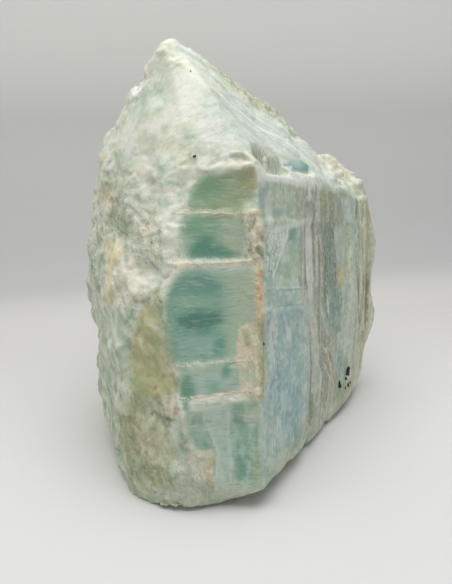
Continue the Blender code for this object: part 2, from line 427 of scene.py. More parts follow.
# %% [markdown]
# ## Cracks and pockets
#
# A few open cracks run across the rough flank. The surface sinks where it is near a crack's course. The two
# pockets at the top of the prism face were cut before the remesh, so here they only get masks.

# %% Cut the cracks and pockets
CRACKS = {
    # name: (places on the front, width, depth)
    "flank crack": (((50.5, 104), (49.5, 96.5), (48, 92.5), (45.5, 90)), 0.8, 0.5),
    "flank crack 2": (((46.5, 102), (42, 98), (39.5, 94), (37.5, 90.5)), 0.8, 0.3),
    "flank crack 3": (((52, 80), (50, 73), (47.5, 66)), 0.8, 0.5),
    "ledge": (((37, 27.3), (34.5, 26.3), (31.5, 26), (29.5, 27)), 1.0, 0.5),
    "foot crack": (((29.5, 27), (29, 22), (26.5, 16.5), (27.5, 9.5), (25, 6)), 0.7, 0.2),
    "foot edge": (((33.5, 3), (29, 6.5), (27, 6), (19.5, -1)), 0.8, 0.5),
}
for course, width, depth in CRACKS.values():
    RELIEF -= facing_front * depth * ramp(width, 0.2 * width, from_course(ON_FRONT, course))
POCKET_HEM = 0.6

behind_prism = -((POINTS - RIDGE_FOOT) @ PRISM.normal)
pockets = {}
for name, ((left, right), (bottom, top), depth) in POCKETS.items():
    corners = ((left, bottom - POCKET_HEM), (left, top), (right, top), (right, bottom - POCKET_HEM))
    at_floor = ramp(0.45 * depth, 0.75 * depth, behind_prism) * ramp(1.5, 0, behind_prism - 1.5 * depth)
    pockets[name] = patch(ON_PRISM, corners, 0.6, 0.2) * at_floor * ramp(0.3, 0.6, facing_prism)
    rough = rough * (1 - pockets[name])
print("relief from", RELIEF.min().round(2), "to", RELIEF.max().round(2), "mm")

# %% [markdown]
# ## Knobs, toes and the move
#
# The far shoulder is knobbly, the knob on the brow is worn, and the foot of the block curves up a little off
# the ground in two places. The relief so far is one number for each point, so now every point moves that far
# along its normal. The base stays flat, because the block stands on it.

# %% Move the points
TOE_BACK = 53.5
TOE_RISE = 0.4
HEEL_WAY = np.array((0.72, -0.69, 0.0))
HEEL_BACK = 30.5
HEEL_RISE = 0.55
SHOULDER = np.array((44, 50, 100))
SHOULDER_SHAPE = (1.2, 1.0, 0.9)
KNOB_HEIGHT = 1.2
KNOB_GROUND = 0.9
WORN_KNOB = np.array((-40, 5, 142))
WORN_DEPTH = 1.8

shoulder = ramp(25, 15, np.linalg.norm((POINTS - SHOULDER) / SHOULDER_SHAPE, axis=1)) * rough
knobs = ramp(-0.2, 0.5, drift(6.5, 81.0)) + 0.5 * ramp(-0.1, 0.5, drift(3.0, 91.0))
RELIEF += shoulder * (KNOB_HEIGHT * knobs - KNOB_GROUND)
RELIEF -= WORN_DEPTH * ramp(5.5, 1.5, np.linalg.norm(POINTS - WORN_KNOB, axis=1))
base_guard = ramp(-0.9, -0.5, NORMALS[:, 2])
moved = POINTS + NORMALS * (RELIEF * base_guard)[:, None]
toe_gap = TOE_RISE * (0.4 * WOBBLE - POINTS[:, 1] - TOE_BACK)
heel_gap = HEEL_RISE * (POINTS @ HEEL_WAY + 0.4 * WOBBLE - HEEL_BACK)
moved[:, 2] = np.maximum(moved[:, 2], np.maximum(toe_gap, heel_gap))
block.data.vertices.foreach_set("co", (moved * MM).astype(np.float32).ravel())
block.data.update()
print("points moved by up to", np.linalg.norm(moved - POINTS, axis=1).max().round(2), "mm")

# %% [markdown]
# ## Masks for the node trees
#
# Chips, grain and ribs repeat all over the stone and follow a rule, so a node tree will make them. It has to
# know where each belongs. A mesh can carry a value or a vector for every point, as a named attribute, and
# nodes read it by its name. The brow and the top break are smoother than the flank, so their share is less.

# %% Keep the masks on the mesh
def keep_values(name, values):
    layer = block.data.attributes.new(name, "FLOAT", "POINT")
    layer.data.foreach_set("value", np.asarray(values, np.float32))


def keep_vectors(name, vectors):
    layer = block.data.attributes.new(name, "FLOAT_VECTOR", "POINT")
    layer.data.foreach_set("vector", np.asarray(vectors, np.float32).ravel())


BROW = ((29, 150), (40, 140), (50, 124), (30, 118), (0, 119), (0, 126), (20, 152))
smooth_brow = facing_front * patch(ON_FRONT, BROW, 4.0, 0.8)
far_rim = ramp(14, 26, POINTS[:, 1] - 0.55 * POINTS[:, 0]) * ramp(100, 112, POINTS[:, 2])
far_rim = far_rim * ramp(0.2, 0.5, NORMALS[:, 2])
calm = np.clip(0.8 * top_break * (1 - far_rim) + 0.75 * smooth_brow + 0.6 * crust, 0, 0.85)
keep_values("chipped", np.clip(rough * (1 - calm) * base_guard, 0, 1))
keep_values("ribbed", prism * base_guard * (0.2 + 0.8 * ramp(24, 34, ALONG)))
keep_vectors("face_place", np.stack((ALONG, PRISM_UP, 0 * ALONG), axis=1))
print("attributes kept:", [layer.name for layer in block.data.attributes if not layer.is_internal])

# %% [markdown]
# ## Helpers for node trees
#
# A node tree is a list of nodes and links between their sockets, and making each by hand takes many lines. A
# few helpers make a node, set or link its inputs and return its output, so that a tree reads like a formula.

# %% Make nodes and sockets
KINDS = {float: "Float", int: "Int", tuple: "Vector"}


def add_sockets(tree, inputs, outputs):
    """Gives a node group its named inputs and outputs. An input has a default, or the name of its kind."""
    for name, default in inputs.items():
        kind = default if isinstance(default, str) else KINDS[type(default)]
        socket = tree.interface.new_socket(name, in_out="INPUT", socket_type="NodeSocket" + kind)
        if kind != default:
            socket.default_value = default
    for name, kind in outputs.items():
        tree.interface.new_socket(name, in_out="OUTPUT", socket_type="NodeSocket" + kind)


def put(tree, value, socket):
    """Sets a socket to a value, or links it if the value is another socket."""
    if isinstance(value, bpy.types.NodeSocket):
        tree.links.new(value, socket)
    elif value is not None:
        socket.default_value = value


def node(tree, kind, inputs=None, **settings):
    made = tree.nodes.new(kind)
    for key, value in settings.items():
        setattr(made, key, value)
    for key, value in (inputs or {}).items():
        put(tree, value, made.inputs[key])
    return made

# %% Work out values in a tree
def maths(tree, operation, *values):
    made = tree.nodes.new("ShaderNodeMath")
    made.operation = operation
    for number, value in enumerate(values):
        put(tree, value, made.inputs[number])
    return made.outputs[0]


def times(tree, first, *others):
    """The product of the values."""
    for other in others:
        first = maths(tree, "MULTIPLY", first, other)
    return first


def vector_maths(tree, operation, *values):
    made = tree.nodes.new("ShaderNodeVectorMath")
    made.operation = operation
    for number, value in enumerate(values):
        put(tree, value, made.inputs[number if operation != "SCALE" or number == 0 else 3])
    return made.outputs["Value" if operation in ("DOT_PRODUCT", "LENGTH") else "Vector"]


def attribute_value(tree, name, kind="FLOAT"):
    made = tree.nodes.new("GeometryNodeInputNamedAttribute")
    made.data_type = kind
    made.inputs["Name"].default_value = name
    return made.outputs["Attribute"]


def draw_out(tree, place, axis, size, stretch):
    """Squeezes places so that noise read there is size across and stretch times as long along the axis."""
    lengthways = vector_maths(tree, "SCALE", axis, vector_maths(tree, "DOT_PRODUCT", place, axis))
    across = vector_maths(tree, "SUBTRACT", place, lengthways)
    across = vector_maths(tree, "SCALE", across, maths(tree, "DIVIDE", 1.0, size))
    length = times(tree, size, stretch)
    lengthways = vector_maths(tree, "SCALE", lengthways, maths(tree, "DIVIDE", 1.0, length))
    return vector_maths(tree, "ADD", across, lengthways)


def bent(tree, place, scale, amount):
    """Places moved about by a broad noise."""
    waver = node(tree, "ShaderNodeTexNoise", {"Vector": place, "Scale": scale, "Detail": 1.0})
    waver = vector_maths(tree, "SUBTRACT", waver.outputs["Color"], (0.5, 0.5, 0.5))
    return vector_maths(tree, "ADD", place, vector_maths(tree, "SCALE", waver, amount))

# %% [markdown]
# ## Chips, grain and ribs by Geometry Nodes
#
# Broken stone is a patchwork of small flats, each tilted its own way. A Voronoi texture gives the patches:
# the distance of a point from its patch's centre, along a direction that belongs to the patch, is a tilted
# plane. Two sizes of patch go on the rough surfaces, with a grain drawn out down the flank, and long ribs go
# up the prism face. The sizes are inputs of the modifier, so they can be changed without touching the tree.

# %% Tilted flats
FLANK_WAY = tuple(unit(np.array((0.40, -0.40, -0.85))))


def chip_offset(tree, place, size, height, seed_shift):
    """Tilted flats: each Voronoi patch is a plane through its own centre."""
    scaled = vector_maths(tree, "SCALE", place, maths(tree, "DIVIDE", 1.0, size))
    scaled = vector_maths(tree, "ADD", scaled, seed_shift)
    patches = node(tree, "ShaderNodeTexVoronoi", {"Vector": scaled, "Scale": 1.0, "Randomness": 1.0})
    away = vector_maths(tree, "SUBTRACT", scaled, patches.outputs["Position"])
    tilt = vector_maths(tree, "SUBTRACT", patches.outputs["Color"], (0.5, 0.5, 0.5))
    return times(tree, vector_maths(tree, "DOT_PRODUCT", away, tilt), height)

# %% The relief tree
RIB_RISE = 0.022


def finish_tree(tree, geometry, material, end):
    """Makes the geometry real, gives it its material and sends it out of the tree."""
    whole = node(tree, "GeometryNodeRealizeInstances", {"Geometry": geometry})
    dressed = node(tree, "GeometryNodeSetMaterial", {"Geometry": whole.outputs[0], "Material": material})
    tree.links.new(dressed.outputs[0], end.inputs[0])


def relief_tree():
    tree = bpy.data.node_groups.new("stone relief", "GeometryNodeTree")
    add_sockets(
        tree,
        {
            "Geometry": "Geometry",
            "Chip Size": 9.0,
            "Chip Height": 1.4,
            "Flake Size": 2.8,
            "Flake Height": 0.85,
            "Grain Size": 1.6,
            "Grain Height": 0.5,
            "Rib Spacing": 3.2,
            "Rib Height": 0.28,
            "Seed": 3.0,
            "Low Corner": "Vector",
            "High Corner": "Vector",
            "Material": "Material",
        },
        {"Geometry": "Geometry"},
    )
    start = tree.nodes.new("NodeGroupInput").outputs
    end = tree.nodes.new("NodeGroupOutput")
    place = vector_maths(tree, "SCALE", node(tree, "GeometryNodeInputPosition").outputs[0], 1 / MM)
    seed = node(tree, "ShaderNodeCombineXYZ", {"X": start["Seed"], "Y": start["Seed"], "Z": 0.5}).outputs[0]
    wavy = bent(tree, place, 0.1, 5.0)

    chips = chip_offset(tree, wavy, start["Chip Size"], start["Chip Height"], seed)
    flakes = chip_offset(tree, wavy, start["Flake Size"], start["Flake Height"], seed)
    grain_place = draw_out(tree, wavy, FLANK_WAY, start["Grain Size"], 3.0)
    grain = node(tree, "ShaderNodeTexNoise", {"Vector": grain_place, "Scale": 1.0, "Detail": 2.5})
    grain = times(tree, maths(tree, "SUBTRACT", grain.outputs[0], 0.5), start["Grain Height"])
    rough_height = maths(tree, "ADD", maths(tree, "ADD", chips, flakes), grain)
    rough_height = times(tree, rough_height, attribute_value(tree, "chipped"))

    face_place = attribute_value(tree, "face_place", "FLOAT_VECTOR")
    split = node(tree, "ShaderNodeSeparateXYZ", {0: face_place}).outputs
    along = maths(tree, "DIVIDE", split[0], start["Rib Spacing"])
    rise = times(tree, split[1], RIB_RISE)
    rib_place = node(tree, "ShaderNodeCombineXYZ", {"X": along, "Y": rise}).outputs[0]
    ribs = node(tree, "ShaderNodeTexNoise", {"Vector": rib_place, "Scale": 1.0, "Detail": 2.0})
    ribs = times(tree, maths(tree, "SUBTRACT", ribs.outputs[0], 0.5), start["Rib Height"])
    ribs = times(tree, ribs, attribute_value(tree, "ribbed"))

    height = times(tree, maths(tree, "ADD", rough_height, ribs), MM)
    normal = node(tree, "GeometryNodeInputNormal").outputs[0]
    moved = vector_maths(tree, "ADD", node(tree, "GeometryNodeInputPosition").outputs[0],
                         vector_maths(tree, "SCALE", normal, height))
    moved = vector_maths(tree, "MAXIMUM", moved, start["Low Corner"])
    moved = vector_maths(tree, "MINIMUM", moved, start["High Corner"])
    shaped = node(tree, "GeometryNodeSetPosition", {"Geometry": start["Geometry"], "Position": moved})
    finish_tree(tree, shaped.outputs[0], start["Material"], end)
    return tree

# %% Give a modifier its inputs
def add_nodes(thing, tree, values):
    """A Geometry Nodes modifier, with its inputs set by their sockets' identifiers."""
    step = thing.modifiers.new(tree.name, "NODES")
    step.node_group = tree
    for item in tree.interface.items_tree:
        if item.item_type == "SOCKET" and item.in_out == "INPUT" and item.name in values:
            step[item.identifier] = values[item.name]
    return step

# %% [markdown]
# ## Colours
#
# The stone's colour is laid on in two layers. The first is painted on the mesh's points, in soft patches,
# because clear green windows, cream rims and rusty stains each have their own place. The second is fine
# grain, veins and streaks, which the material adds. Colours are given as they look on a screen, from 0 to
# 255, and turned into the linear values that Blender mixes.

# %% The palette
def colour(red, green, blue):
    screen = np.array((red, green, blue)) / 255.0
    return np.where(screen <= 0.04045, screen / 12.92, ((screen + 0.055) / 1.055) ** 2.4)


MILK = colour(242, 243, 230)
PALE_AQUA = colour(206, 221, 205)
FROST = colour(210, 219, 207)
GREY_GREEN = colour(188, 199, 172)
MID_GREEN = colour(158, 184, 154)
CREAM = colour(234, 222, 188)
PINK_CREAM = colour(232, 210, 178)
SAND = colour(216, 206, 150)
TAN = colour(188, 184, 128)
RUST = colour(210, 172, 106)
ORANGE = colour(218, 184, 138)
YELLOW = colour(206, 190, 100)
OLIVE = colour(162, 164, 112)
LEAF_GREEN = colour(140, 176, 138)
SEA_GREEN = colour(156, 190, 164)
TEAL = colour(126, 174, 154)
DEEP_TEAL = colour(92, 146, 124)
BAND_GREEN = colour(124, 146, 124)
BLUE = colour(158, 188, 188)
PALE_BLUE = colour(192, 208, 202)
BLUE_HEART = colour(138, 178, 184)
TURQUOISE = colour(150, 196, 190)
GREY = colour(196, 199, 180)
VIOLET_GREY = colour(200, 200, 192)
BROWN_GREY = colour(160, 156, 138)
BROWN = colour(128, 112, 86)
DARK_GREEN = colour(96, 118, 98)

# %% Lay paint on the points
PAINT = np.tile(GREY_GREEN, (len(POINTS), 1))


def lay(mask, tint, strength):
    """Mixes a colour in where the mask is."""
    share = np.clip(mask * strength, 0, 1)[:, None]
    PAINT[:] = PAINT * (1 - share) + tint * share


def lay_where(rows):
    """Lays (area, values, low, high, colour, strength) rows, in order, as the values go from low to high."""
    for area, values, low, high, tint, strength in rows:
        lay(area * ramp(low, high, values), tint, strength)


def lay_patches(measure, area, patches, ragged=0.5):
    """Lays (corners, colour, strength, softness) patches, in order."""
    for corners, tint, strength, soft in patches.values():
        lay(area * patch(measure, corners, soft, ragged), tint, strength)


def lay_lines(measure, area, lines):
    """Lays (course, colour, strength, half width) lines, in order."""
    for course, tint, strength, half in lines.values():
        lay(area * ramp(1.6 * half, 0.5 * half, from_course(measure, course)), tint, strength)

# %% [markdown]
# ### The rough surfaces
#
# Broken beryl is mottled: bruised white where it was struck, pale green where it is fresh, with cream and
# rusty clay in its hollows. The mottles are drawn out down the flank and, on the brow, upwards to the point.
# The block is whiter towards its top.

# %% Mottle the rough surfaces
BROW_WAY = np.array((0.75, 0.2, 0.55))
high = ramp(92, 112, POINTS[:, 2])
broad = drift(19.0, 101.0)
middle = drift(7.0, 111.0)
grain = (1 - high) * drawn_out(3.4, 2.4, FLANK_WAY, 121.0)
grain += high * (0.6 * drift(8.0, 126.0) + 0.5 * drift(3.6, 127.0))
fine_grain = (1 - high) * drawn_out(1.7, 2.2, FLANK_WAY, 131.0)
fine_grain += high * (0.7 * drift(2.0, 136.0) + 0.3 * drift(3.0, 137.0))
clay = (1 - high) * drawn_out(5.0, 2.0, FLANK_WAY, 141.0) + high * drawn_out(6.5, 1.6, BROW_WAY, 146.0)
whiteness = ramp(30, 135, POINTS[:, 2])

lay(ramp(-0.3, 0.4, broad + 0.6 * grain), PALE_AQUA, 0.7)
lay(whiteness, MILK, 0.6)
lay_where((
    (1, clay + 0.3 * fine_grain, 0.0, 0.35, CREAM, 0.65),
    (1, grain + 0.5 * fine_grain, 0.02, 0.25, MILK, 0.6),
    ((1 - 0.65 * whiteness), -grain - 0.4 * fine_grain, 0.05, 0.3, MID_GREEN, 0.75),
    (1, POINTS[:, 2], 45, 12, GREY_GREEN, 0.3),
))
print("mottled, the average colour is", PAINT.mean(axis=0).round(3))

# %% [markdown]
# ### The flank and the brow
#
# Some colours have a place of their own: a pink bruised field, a tan zone, a green oval on the brow. Each is
# an outline on the front's measures with a soft, ragged edge. A table of named outlines is easier to adjust
# than a painted image. Later rows lie over earlier ones.

# %% Outline the patches on the flank and the brow
FLANK_PATCHES = {
    # name: (corners on the front's measures, colour, strength, softness)
    "bruised flank": (((52, 100), (44, 104), (32, 96), (28, 80), (36, 78), (46, 84)), CREAM, 0.35, 5),
    "white field": (((35, 101), (26, 98), (26.5, 86), (29.5, 82), (34, 90)), MILK, 0.7, 2.5),
    "cool band": (((50.5, 97), (42, 91), (38.5, 84), (44, 85), (49.5, 89.5)),
        MID_GREEN * 0.6 + PALE_AQUA * 0.4, 0.55, 1.5),
    "pink field": (((47, 84.5), (40, 80.5), (37, 75), (40, 70.5), (45.5, 69), (49.5, 74), (50, 79)),
        PINK_CREAM * 0.4 + MILK * 0.72, 0.95, 1.8),
    "pale field": (((38, 79), (28.5, 81), (33.5, 73), (38, 71)), PALE_AQUA * 0.3 + MILK * 0.65, 0.8, 1.6),
    "yellow streak": (((52.5, 88.5), (47.5, 89), (45, 84.5), (50, 79), (51.5, 64), (54, 67.5),
        (52.5, 77.5)), SAND * 0.3 + CREAM * 0.85, 0.95, 1.6),
    "yellow spot": (((51, 86), (48, 86), (48, 81), (50.5, 79)), YELLOW * 0.4 + SAND * 0.6, 0.5, 1.5),
    "flank top": (((50, 111.5), (40, 110), (38, 96), (50.5, 94)), MID_GREEN * 0.5 + GREY_GREEN * 0.35, 0.45,
        4),
    "green lens": (((49, 100), (45, 97), (45, 92), (49, 93)), MID_GREEN, 0.6, 1.5),
    "flank green": (((54, 116), (48.5, 116), (46.5, 108), (53, 108)), OLIVE * 0.7 + MID_GREEN * 0.3, 0.55,
        2.5),
    "cream hem": (((55, 109), (48.5, 107), (49.5, 101), (54.5, 101)), SAND * 0.3 + CREAM * 0.7, 0.75, 2),
    "cream edge": (((55, 124), (49, 125), (48, 118), (54, 117)), CREAM, 0.8, 2),
    "tan zone": (((36, 70.5), (33, 48), (30, 42), (29.3, 36.5), (36, 32.5), (44, 35.5), (45.5, 45),
        (43.5, 59), (40.5, 67)), TAN, 0.9, 1.8),
    "olive middle": (((40, 61), (35, 60), (34.5, 53), (39, 52)), OLIVE, 0.6, 2),
    "olive foot": (((44.5, 42), (33, 30), (37, 10), (30, 5), (31, 1), (44, -3), (49, 9), (50, 22)), OLIVE,
        0.6, 3),
    "olive flank": (((49, 24), (43.5, 28), (41.5, 22), (46.5, 17)), OLIVE * 0.95, 0.85, 2),
    "olive flank 2": (((47.5, 15.5), (41.5, 17.5), (41.5, 11), (46.5, 10)), OLIVE * 0.9, 0.85, 1.5),
    "olive dot low": (((39.5, 8.5), (35.5, 9), (35, 4), (39, 2)), OLIVE * 0.85, 0.7, 1),
    "tan flank": (((41.5, 21), (32, 19), (31, 11), (39, 8.5), (43, 15)), TAN * 0.5 + CREAM * 0.5, 0.7, 1.8),
    "foot orange": (((38, 20), (34, 20.5), (34, 16), (37, 15)), PINK_CREAM, 0.6, 1.5),
    "left pale": (((57, 67), (51.5, 62.5), (44.5, 66), (45.5, 45), (56.5, 32), (54, 51.5)),
        PALE_AQUA * 0.6 + GREY_GREEN * 0.4, 0.6, 3),
    "pink wedge": (((33, 31.5), (30, 33), (30, 27), (33, 27.5)), PINK_CREAM, 0.8, 0.8),
    # Painted shade: a dark green patch just below the ledge crack.
    "painted shade under the ledge": (((36, 26), (31.5, 25.5), (33, 23.5), (35.5, 24.5)), DARK_GREEN, 0.6, 0.8),
    "grey foot": (((30, 26), (26, 26), (18, 7), (16.5, -2), (27, 6), (30, 17)),
        FROST * 0.6 + MID_GREEN * 0.4, 0.6, 1.5),
    "cream foot": (((27, 15.5), (21, 16), (17, 12), (16.5, 4.5), (18.5, -1), (25.5, 8)),
        CREAM * 0.75 + FROST * 0.2, 0.75, 1.6),
    "foot rust": (((20.5, 12), (18.5, 10), (18, 3), (20, 4)), RUST * 0.9, 0.6, 0.7),
    "dark chip": (((28.5, 20), (26.5, 20), (26, 15), (28, 14.5)), DARK_GREEN * 1.2, 0.6, 1),
    "pale toe": (((44, -3), (32.5, 0.5), (29.5, 6.5), (21.5, 3.5), (15.5, 0), (8.5, -1), (9.5, -9),
        (42, -9)), GREY_GREEN * 0.8 + PALE_AQUA * 0.2, 0.8, 1.2),
    "brow green": (((34, 154), (28, 154.5), (26, 148), (31, 146), (35, 150)), SEA_GREEN, 0.5, 2),
    "oval": (((38, 142), (31.5, 143.5), (28, 138.5), (30.5, 134.5), (36.5, 131), (42, 132.5), (42.5, 139)),
        SEA_GREEN * 0.6 + PALE_AQUA * 0.4, 0.6, 1.6),
    "oval heart": (((36.5, 140), (31.5, 139.5), (31.5, 135.5), (36, 134)), MILK, 0.6, 1.6),
    "brow light": (((30, 146), (22, 150), (14, 136), (12, 126), (22, 124), (28, 132)), MILK, 0.6, 4),
    "brow cool": (((18, 142), (12, 140), (4, 128), (6, 118), (16, 122)), PALE_BLUE, 0.35, 4),
    "brow cream": (((40, 124), (24, 122), (16, 114), (28, 110), (44, 112)), CREAM, 0.4, 4),
    "cream knob": (((37.5, 149), (34.5, 149.5), (34.5, 146), (37.5, 145)), PINK_CREAM, 0.6, 1.2),
    "low green": (((48, 122), (40, 120), (42, 112), (50, 112)), MID_GREEN * 0.5 + PALE_AQUA * 0.5, 0.5, 2),
    "brow aqua": (((36, 118), (29, 117), (28, 111), (35, 110)), PALE_AQUA, 0.8, 2),
    "brow shade": (((24, 126), (21, 126), (19.5, 118), (22, 117)), GREY_GREEN, 0.5, 1.2),
}
print("patches on the flank and brow:", len(FLANK_PATCHES))

# %% Lay the flank's patches and lines
FLANK_LINES = {
    "flank crack": (CRACKS["flank crack"][0], BROWN, 0.4, 0.7),
    "flank crack 2": (CRACKS["flank crack 2"][0], BROWN, 0.2, 0.7),
    "ledge": (((37.5, 27), (34.5, 26), (31, 25.6)), DARK_GREEN, 0.5, 0.8),
    "foot crack": (CRACKS["foot crack"][0], MID_GREEN, 0.35, 0.8),
}
lay_patches(ON_FRONT, facing_front * rough, FLANK_PATCHES)
lay(rough * ramp(143, 150, POINTS[:, 2] + WOBBLE), MILK * 0.6 + CREAM * 0.4, 0.7)
low_calm = facing_front * (1 - 0.6 * ramp(60, 35, POINTS[:, 2]))
lay_where((
    (low_calm * rough, grain + 0.4 * fine_grain, 0.05, 0.3, MILK, 0.25),
    (low_calm * rough * (1 - 0.6 * high), -grain - 0.4 * fine_grain, 0.05, 0.3, MID_GREEN, 0.3),
))
lay_lines(ON_FRONT, facing_front * rough, FLANK_LINES)

# %% [markdown]
# The back and the sides get stains too, as blobs in space.

# %% Stain the back
BACK_STAINS = {
    # name: (centre, size, colour, strength)
    "green heart": ((20, 58, 60), (22, 12, 26), SEA_GREEN, 0.6),
    "sand field": ((-30, 50, 86), (16, 10, 20), SAND, 0.45),
    "olive corner": ((-50, 34, 50), (10, 14, 18), OLIVE, 0.5),
    "teal foot": ((0, 58, 24), (20, 10, 14), TEAL, 0.5),
    "olive foot": ((34, 56, 28), (12, 10, 18), OLIVE, 0.4),
    "rust edge": ((-54, 14, 92), (6, 12, 10), RUST, 0.35),
}


def blob(centre, size):
    """A soft patch in space."""
    moved_points = POINTS + np.stack((WOBBLE, WOBBLE_2, WOBBLE - WOBBLE_2), axis=1)
    reach = np.linalg.norm((moved_points - centre) / np.array(size, float), axis=1)
    return ramp(1.5, 0.5, reach)


for centre, size, tint, strength in BACK_STAINS.values():
    lay(blob(centre, size) * (1 - facing_front), tint, strength)

# %% [markdown]
# ### The top break
#
# The oblique break on top is almost white, with faint blue-green streaks that run down it from the point, and
# an olive, weathered band along its far rim. Two pockets break its near edge: one shows dull fibres, the
# other clean turquoise.

# %% Paint the top
DOWN_THE_TOP = unit(np.array((50.0, 42.0, -52.0)))
TOP_ACROSS = unit(np.cross(DOWN_THE_TOP, (0.3, -0.2, 1.0)))
top_along = POINTS @ DOWN_THE_TOP
top_aside = POINTS @ TOP_ACROSS
streaks = flat_noise(top_along / 26, top_aside / 2.6, 151.0)
fine_streaks = flat_noise(top_along / 14, top_aside / 1.2, 161.0)
lay(top_break, FROST * 0.92, 0.85)
lay_where((
    (top_break * ramp(-100, -80, top_along), top_aside, -56, -46, PALE_BLUE * 0.92, 0.45),
    (top_break, streaks + 0.4 * fine_streaks, 0.0, 0.4, PALE_BLUE * 0.88, 0.5),
    (top_break, -streaks + 0.4 * fine_streaks, 0.1, 0.4, MILK, 0.5),
    (top_break, fine_streaks + 0.3 * streaks, 0.2, 0.45, GREY_GREEN * 0.85, 0.35),
))
rim = top_break * ramp(-55, -60, top_aside + 0.9 * WOBBLE) * ramp(-100, -92, top_along)
lay(rim, OLIVE * 0.6 + GREY_GREEN * 0.35, 0.75)
lay_where((
    (rim, clay + fine_grain, -0.1, 0.3, SAND * 0.35 + GREY_GREEN * 0.6, 0.4),
    (rim, grain, 0.05, 0.3, MILK, 0.4),
    (rim, -fine_grain, 0.15, 0.35, BROWN_GREY, 0.6),
))

# %% Draw the streaks on top
TOP_LINES = {
    "streak": (((-101, -58), (-93, -50), (-86, -51)), GREY_GREEN * 0.7, 0.6, 0.6),
    "streak 2": (((-84, -50), (-73, -53)), GREY_GREEN * 0.8, 0.5, 0.6),
    "streak 3": (((-92, -35.5), (-84.5, -33.5), (-73, -36.5)), GREY_GREEN * 0.7, 0.6, 0.5),
}
lay_lines((top_along, top_aside), top_break, TOP_LINES)
lay(top_break * ramp(3.5, 1.5, np.hypot(top_along + 96.5, top_aside + 39.5)), OLIVE, 0.5)

# %% [markdown]
# ### The prism face
#
# The slabs differ in colour: blue by the ridge, then grey, a dark glassy band, a pale slab, and stripes of
# cream and olive at the far edge. Slabs are painted first, then the patches on them, then the fine lines.

# %% Outline the slabs and their patches
lay(prism, SEA_GREEN * 0.4 + PALE_BLUE * 0.6, 1.0)
streak = flat_noise(ALONG / 1.3, PRISM_UP / 42, 171.0)
wide_streak = flat_noise(ALONG / 3.4, PRISM_UP / 60, 181.0)
frosting = drift(1.9, 191.0) + 0.6 * drift(4.5, 201.0)

